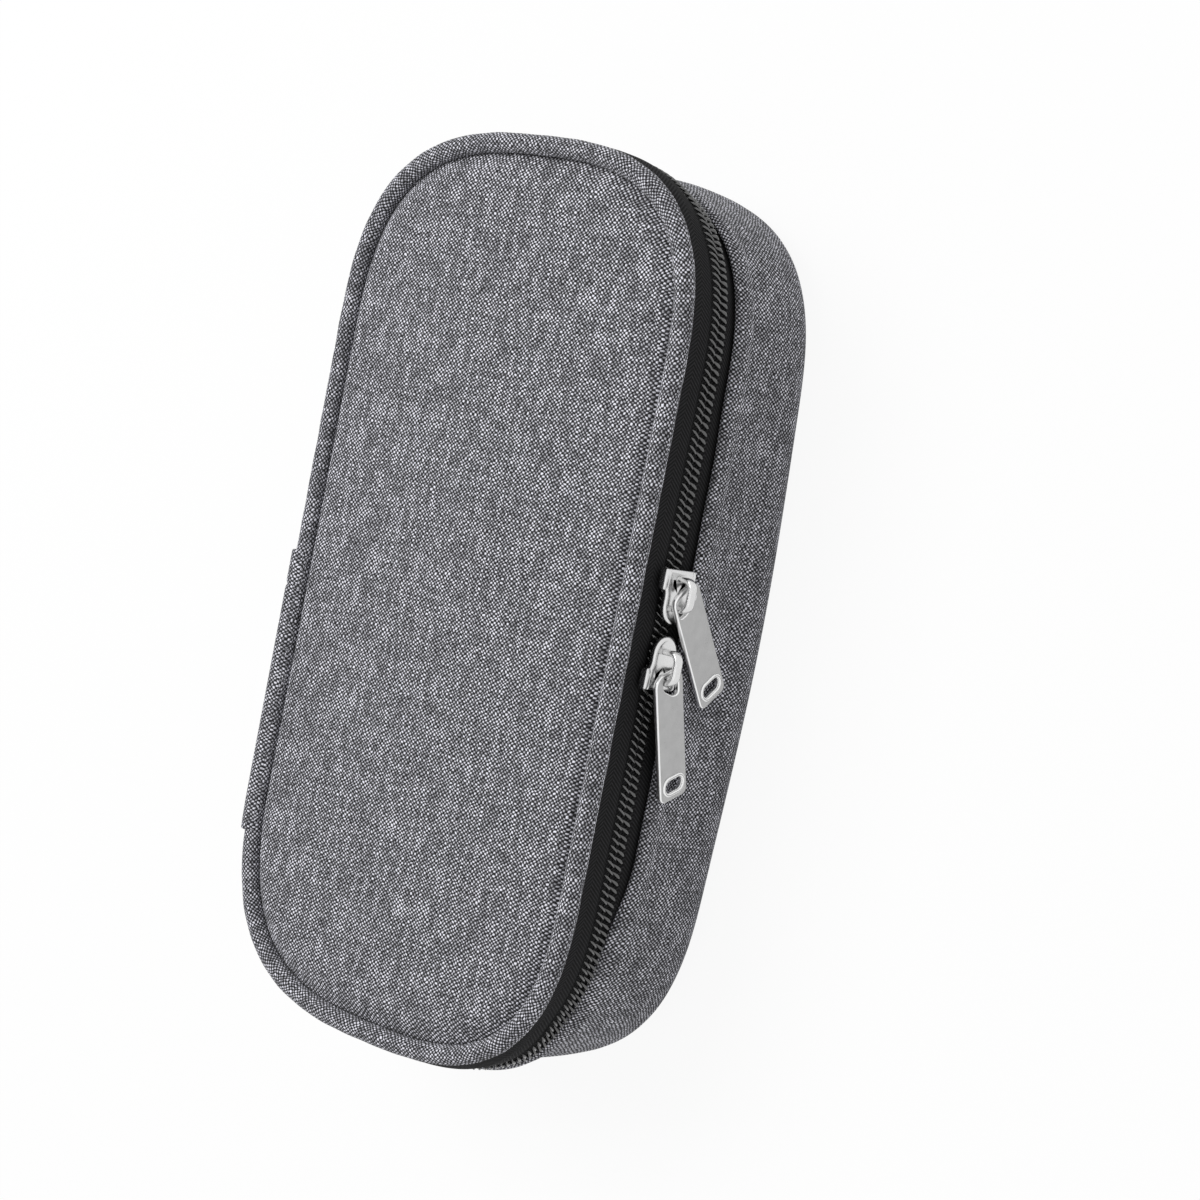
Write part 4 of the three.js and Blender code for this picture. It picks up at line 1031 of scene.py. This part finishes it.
# Rubber: black, with a fine grain in its tone and gloss
def rubberFinish(name):
    rubber = Finish(name, Specular_IOR_Level=0.4)
    grain = rubber.noise(rubber.place(), 1400.0, 4.0)
    rubber.give(Base_Color=rubber.blend(grain, grey(0.008), grey(0.022)), Roughness=0.5 + 0.25 * grain)
    rubber.ridge(grain, 0.25, 0.08)
    return rubber.material


# Card: white, a row of dark cells with one red at the end, and a tick beside each
def cardFinish(name, card):
    paper = Finish(name, Roughness=0.35, Coat_Weight=0.3, Coat_Roughness=0.2)
    u, v = paper.cloth()
    step = u / card["cell"]
    inStep = (step.fract() - 0.5).abs()
    onRow = u.abs() < card["length"]
    cell = (inStep < 0.36) * (v.abs() < 1.15) * onRow
    tick = (inStep < 0.1) * ((v.abs() - 2.1).abs() < 0.5) * onRow
    red = cell * (u > card["red"])
    speck = paper.noise(paper.spot(u, v), 2.0, 3.0)
    base = paper.blend(speck, grey(0.7), grey(0.82))
    ink = paper.blend(speck, (0.03, 0.035, 0.04, 1.0), (0.07, 0.08, 0.085, 1.0))
    inked = paper.blend(tick, paper.blend(cell * 0.92, base, ink), grey(0.05))
    paper.give(Base_Color=paper.blend(red, inked, (0.62, 0.03, 0.03, 1.0)))
    return paper.material


rubber = rubberFinish("ribbedRubber")

# Thermometer: a rubber frame with a squared section and a ribbed rim, and a card of cells behind it
strip = {"rib": 1.5, "ribDepth": 0.35, "ribReach": 1.4, "rim": 2.2, "cell": 3.7, "row": 25.9, "red": 22.2}
low, high = span("thermometer_frame")
middle, size = (low + high) / 2, high - low
ribbed = Outline(size[1] / 2, size[0], 2.2, 5.0)
run = ribbed.runs(600)
rib = strip["ribDepth"] * (0.5 + 0.5 * np.tanh(3 * np.sin(2 * np.pi * run / strip["rib"])))
around = 2 * np.pi * np.arange(16)[:, None] / 16
inset = strip["rim"] / 2 - strip["rim"] / 2 * signedPower(np.cos(around), 0.5)
height = middle[2] + size[2] / 2 * signedPower(np.sin(around), 0.5)
inset = inset + rib * np.clip(1 - inset / strip["ribReach"], 0, 1)


# Turns points a quarter, so that their y runs along the case's x, about the middle
def crosswise(points, middle):
    return np.stack([middle[0] + points[..., 1], middle[1] - points[..., 0], points[..., 2]], -1)


framePoints = crosswise(ribbed.place(run[None, :], inset, height), middle)
frameMesh = surfaceMesh("thermometerFrame", framePoints, closeRows=True, closeCols=True)
fit("thermometerFrame", frameMesh, rubber, "flap", ["thermometer_frame"])
low, high = span("thermometer_card")
cardSize, cardMiddle = high - low, (low + high) / 2
plain = Outline(cardSize[1] / 2, cardSize[0], 1.2, 4.0)
share = np.r_[0.5, 0.98, 1.0, 1.0, 0.98, 0.5]
height = cardMiddle[2] + cardSize[2] / 2 * np.r_[-1, -1, -0.7, 0.7, 1, 1]
cardPoints = plain.place(plain.runs(120)[None, :], 0.0, height[:, None])
cardPoints[..., :2] *= share[:, None, None]
uv = np.concatenate([cardPoints, cardPoints[:, :1]], 1)[..., [1, 0]]
cardMesh = surfaceMesh("thermometerCard", crosswise(cardPoints, cardMiddle), uv, closeCols=True, caps=True)
printed = cardFinish("cellCard", {"cell": strip["cell"], "length": strip["row"], "red": strip["red"]})
fit("thermometerCard", cardMesh, printed, "flap", ["thermometer_card"])
print("thermometer made")

# Sliders: plate, folded ears and a looped bridge, in the zip's own directions:
# across it, along it with the nose at minus, and outwards
slide = {"x": 48.3, "meet": 2.6, "reach": 7.0, "length": 11.6, "plate": 1.3, "wing": 5.2, "wingLength": 4.6,
         "ear": 0.85, "nose": 3.8, "bridgeNose": 3.1, "bridgeWing": 4.5, "rise": 4.0, "band": 1.3,
         "width": 2.3, "corner": 2.4}


# Outline through corner points, evenly spaced, its corners softened by averaging over a short reach
def softOutline(corners, count, soften):
    corners = np.asarray(corners, float)
    closed = np.r_[corners, corners[:1]]
    length = np.r_[0, np.cumsum(np.linalg.norm(np.diff(closed, axis=0), axis=1))]
    even = np.linspace(0, length[-1], count, endpoint=False)
    points = np.stack([np.interp(even, length, closed[:, k]) for k in (0, 1)], -1)
    reach = int(round(soften / length[-1] * count))
    return np.mean([np.roll(points, k, 0) for k in range(-reach, reach + 1)], 0)


# Outward direction along a closed flat outline: across the step between neighbours, signed by its area
def outwardNormal(points):
    step = np.roll(points, -1, 0) - np.roll(points, 1, 0)
    normal = np.stack([step[:, 1], -step[:, 0]], -1) / np.linalg.norm(step, axis=-1, keepdims=True)
    area = (points[:, 0] * np.roll(points[:, 1], -1) - points[:, 1] * np.roll(points[:, 0], -1)).sum()
    return normal * np.sign(area)


# Plate: rings stepped in from the outline by a rounded edge
def platePoints(outline, inset, height):
    normal = outwardNormal(outline)
    flat = outline[None] - normal[None] * np.asarray(inset)[:, None, None]
    height = np.broadcast_to(np.asarray(height, float)[:, None, None], flat.shape[:2] + (1,))
    return np.concatenate([flat, height], -1)


# Rounded block: a superellipsoid, each axis a signed power of cosines and sines of two angles
def blockPoints(middle, half, squareness):
    tilt = np.linspace(-np.pi / 2, np.pi / 2, 15)[1:-1, None]
    turn = 2 * np.pi * np.arange(24)[None, :] / 24
    level = signedPower(np.cos(tilt), squareness)
    unit = np.stack([level * signedPower(np.cos(turn), squareness),
                     level * signedPower(np.sin(turn), squareness),
                     signedPower(np.sin(tilt), squareness) + 0 * turn], -1)
    return np.asarray(middle) + np.asarray(half) * unit


# Bridge: a rounded band carried along a path that rises from the wings, runs over and comes down at the nose
def bridgePoints():
    half, corner = slide["band"] / 2, slide["corner"] - slide["band"] / 2
    wing, nose, rise = slide["bridgeWing"] - half, slide["bridgeNose"] - half, slide["rise"] - half
    bend = np.linspace(0, np.pi / 2, 9)
    up, over = corner * np.sin(bend), corner * np.cos(bend)
    path = np.r_[[[wing, -0.5], [wing, 0.2]],
                 np.stack([wing - corner + over, rise - corner + up], -1),
                 np.stack([-nose + corner - up, rise - corner + over], -1),
                 [[-nose, 0.2], [-nose, -0.5]]]
    step = np.gradient(path, axis=0)
    normal = np.stack([step[:, 1], -step[:, 0]], -1) / np.linalg.norm(step, axis=-1, keepdims=True)
    turn = 2 * np.pi * np.arange(16) / 16
    across = slide["width"] / 2 * signedPower(np.cos(turn), 0.6)
    thick = half * signedPower(np.sin(turn), 0.6)
    sides = path[:, None, :] + normal[:, None, :] * thick[None, :, None]
    return np.concatenate([across[None, :, None] + 0 * sides[..., :1], sides[..., :1],
                           slide["plate"] + sides[..., 1:]], -1)


# From the zip's own directions to the case's, at a place along the zip; turned is -1 for a nose the other way
def zipPlace(points, y, turned, lift=0.0):
    return np.stack([slide["x"] + lift + points[..., 2], y + turned * points[..., 1],
                     case["zip"] - turned * points[..., 0]], -1)


# One mesh of several, which are removed
def joined(name, parts):
    work = bmesh.new()
    for part in parts:
        work.from_mesh(part)
        bpy.data.meshes.remove(part)
    mesh = bpy.data.meshes.new(name)
    work.to_mesh(mesh)
    work.free()
    return mesh


# Slider: a plate that narrows to a round nose, a block for each ear, and the bridge
def slider(name, node, body, side):
    y = slide["meet"] + side * slide["reach"]
    half, wing, nose = slide["length"] / 2, slide["wing"], slide["nose"]
    shoulder = half - slide["wingLength"]
    tail = wing - 0.9
    bend = np.linspace(np.pi, 2 * np.pi, 25)
    corners = np.r_[[[tail, half], [-tail, half], [-tail, shoulder + 0.4], [-nose, shoulder - 0.9]],
                    np.stack([nose * np.cos(bend), -half + nose + nose * np.sin(bend)], -1),
                    [[nose, shoulder - 0.9], [tail, shoulder + 0.4]]]
    outline = softOutline(corners, 200, 0.5)
    plate = platePoints(outline, [2.0, 0.4, 0.12, 0.0, 0.0, 0.08, 0.28, 0.6, 0.95, 1.2, 2.2],
                        [0.0, 0.0, 0.1, 0.35, 0.85, 1.12, 1.27, 1.3, 1.24, 1.08, 1.05])
    ears = [blockPoints((ear * (wing - slide["ear"]), half - slide["wingLength"] / 2, 0.32),
                        (slide["ear"], slide["wingLength"] / 2, 0.95), 0.42) for ear in (-1, 1)]
    mesh = joined(name, [surfaceMesh(name, zipPlace(part, y, side), closeCols=True, caps=True)
                         for part in (plate, *ears, bridgePoints())])
    mesh.shade_smooth()
    fit(name, mesh, bright, body, [node])


slider("upperSlider", "slider_upper", "slider_upper", 1)
slider("lowerSlider", "slider_lower", "slider_lower", -1)

# Pulls: a flat plate with an eye and an oblong slot, edges rounded over, and a raised rim round the slot;
# each eye is as deep on one side as the bridge's leg that it clears
pull = {"length": 28.6, "width": 8.8, "thick": 1.2, "bar": 0.5, "corner": 1.6, "head": 2.6, "eyeSoft": 0.9,
        "slotWidth": 5.6, "slotHeight": 2.8, "slotMargin": 1.9, "edge": 0.4, "axis": 2.6,
        "upperEye": [(-3.6, -0.5), (2.6, -0.5), (2.6, -3.0), (-1.0, -4.8), (-3.6, -4.8)],
        "lowerEye": [(-2.0, -0.5), (2.8, -0.5), (2.8, -5.0), (0.9, -5.0), (-2.0, -3.0)]}


# Box with one radius on its two upper corners and another on the lower two
def roundedBox(width, height, middle, radius, head):
    turn = np.linspace(0, np.pi / 2, 9)
    corners = [np.stack([sx * (width / 2 - r) + r * np.cos(turn + a),
                         sy * (height / 2 - r) + r * np.sin(turn + a)], -1)
               for sx, sy, a, r in ((1, 1, 0, head), (-1, 1, np.pi / 2, head), (-1, -1, np.pi, radius),
                                    (1, -1, 1.5 * np.pi, radius))]
    return np.concatenate(corners) + np.asarray(middle)


# Flat curve with holes, filled and given a rounded edge, then read back as a mesh
def cutPlate(name, loops, thick, edge):
    curve = bpy.data.curves.new(name, "CURVE")
    curve.dimensions, curve.fill_mode = "2D", "BOTH"
    for loop in loops:
        spline = curve.splines.new("POLY")
        spline.points.add(len(loop) - 1)
        flat = np.c_[loop * mm, np.zeros(len(loop)), np.ones(len(loop))]
        spline.points.foreach_set("co", flat.ravel())
        spline.use_cyclic_u = True
    curve.extrude, curve.bevel_depth = (thick / 2 - edge) * mm, edge * mm
    curve.bevel_resolution, curve.offset = 3, -edge * mm
    holder = bpy.data.objects.new(name, curve)
    scene.collection.objects.link(holder)
    bpy.context.view_layer.update()
    mesh = bpy.data.meshes.new_from_object(holder.evaluated_get(bpy.context.evaluated_depsgraph_get()))
    bpy.data.objects.remove(holder)
    bpy.data.curves.remove(curve)
    mesh.materials.clear()
    return mesh


# Pull: the cut plate and a ring carried round its slot, turned by yaw and seated on the bridge
def zipPull(name, node, body, side, seat, yaw, eye):
    tip = pull["bar"] - pull["length"]
    plateMiddle = (0, (tip + pull["bar"]) / 2)
    plateLoop = roundedBox(pull["width"], pull["length"], plateMiddle, pull["corner"], pull["head"])
    eyeLoop = softOutline(eye, 80, pull["eyeSoft"])
    slotMiddle = tip + pull["slotMargin"] + pull["slotHeight"] / 2
    slotEnd = pull["slotHeight"] / 2 - 0.01
    slotLoop = roundedBox(pull["slotWidth"], pull["slotHeight"], (0, slotMiddle), slotEnd, slotEnd)
    plate = cutPlate(name, [plateLoop, eyeLoop, slotLoop], pull["thick"], pull["edge"])
    rimTurn = 2 * np.pi * np.arange(10)[:, None, None] / 10
    edgeLoop = softOutline(slotLoop, 90, 0.01)
    normal = outwardNormal(edgeLoop)
    rimFlat = edgeLoop[None] + normal[None] * (0.42 + 0.4 * np.cos(rimTurn))
    rimHeight = pull["thick"] / 2 + 0.05 + 0.28 * np.sin(rimTurn) + 0 * rimFlat[..., :1]
    rimPoints = np.concatenate([rimFlat, rimHeight], -1)
    mesh = joined(name, [plate, surfaceMesh(name, rimPoints, closeRows=True, closeCols=True)])
    flat = np.empty(len(mesh.vertices) * 3)
    mesh.vertices.foreach_get("co", flat)
    flat = flat.reshape(-1, 3) / mm
    turn = math.radians(yaw)
    x = flat[:, 0] * np.cos(turn) - flat[:, 1] * np.sin(turn)
    y = flat[:, 0] * np.sin(turn) + flat[:, 1] * np.cos(turn)
    centre = slide["meet"] + side * (slide["reach"] + seat)
    placed = zipPlace(np.stack([x, y, flat[:, 2]], -1), centre, 1, pull["axis"])
    mesh.vertices.foreach_set("co", (placed * mm).ravel())
    weld(mesh, 0.005)
    mesh.shade_smooth()
    mesh.set_sharp_from_angle(angle=math.radians(35))
    facing = np.empty(len(mesh.polygons) * 3)
    mesh.polygons.foreach_get("normal", facing)
    # marks the rounded edges and the slot's rim for the painted highlight in the nickel
    paintedEdgeHighlight = np.abs(facing[::3]) < 0.97  # all but the flat faces
    mesh.attributes.new("paintedEdgeHighlight", "FLOAT", "FACE").data.foreach_set("value", paintedEdgeHighlight.astype(np.float32))
    fit(name, mesh, satin, body, [node])


zipPull("upperPull", "pull_upper", "pull_upper", 1, 1.6, 38.0, pull["upperEye"])
zipPull("lowerPull", "pull_lower", "pull_lower", -1, 2.0, 21.0, pull["lowerEye"])
print("sliders and pulls made")
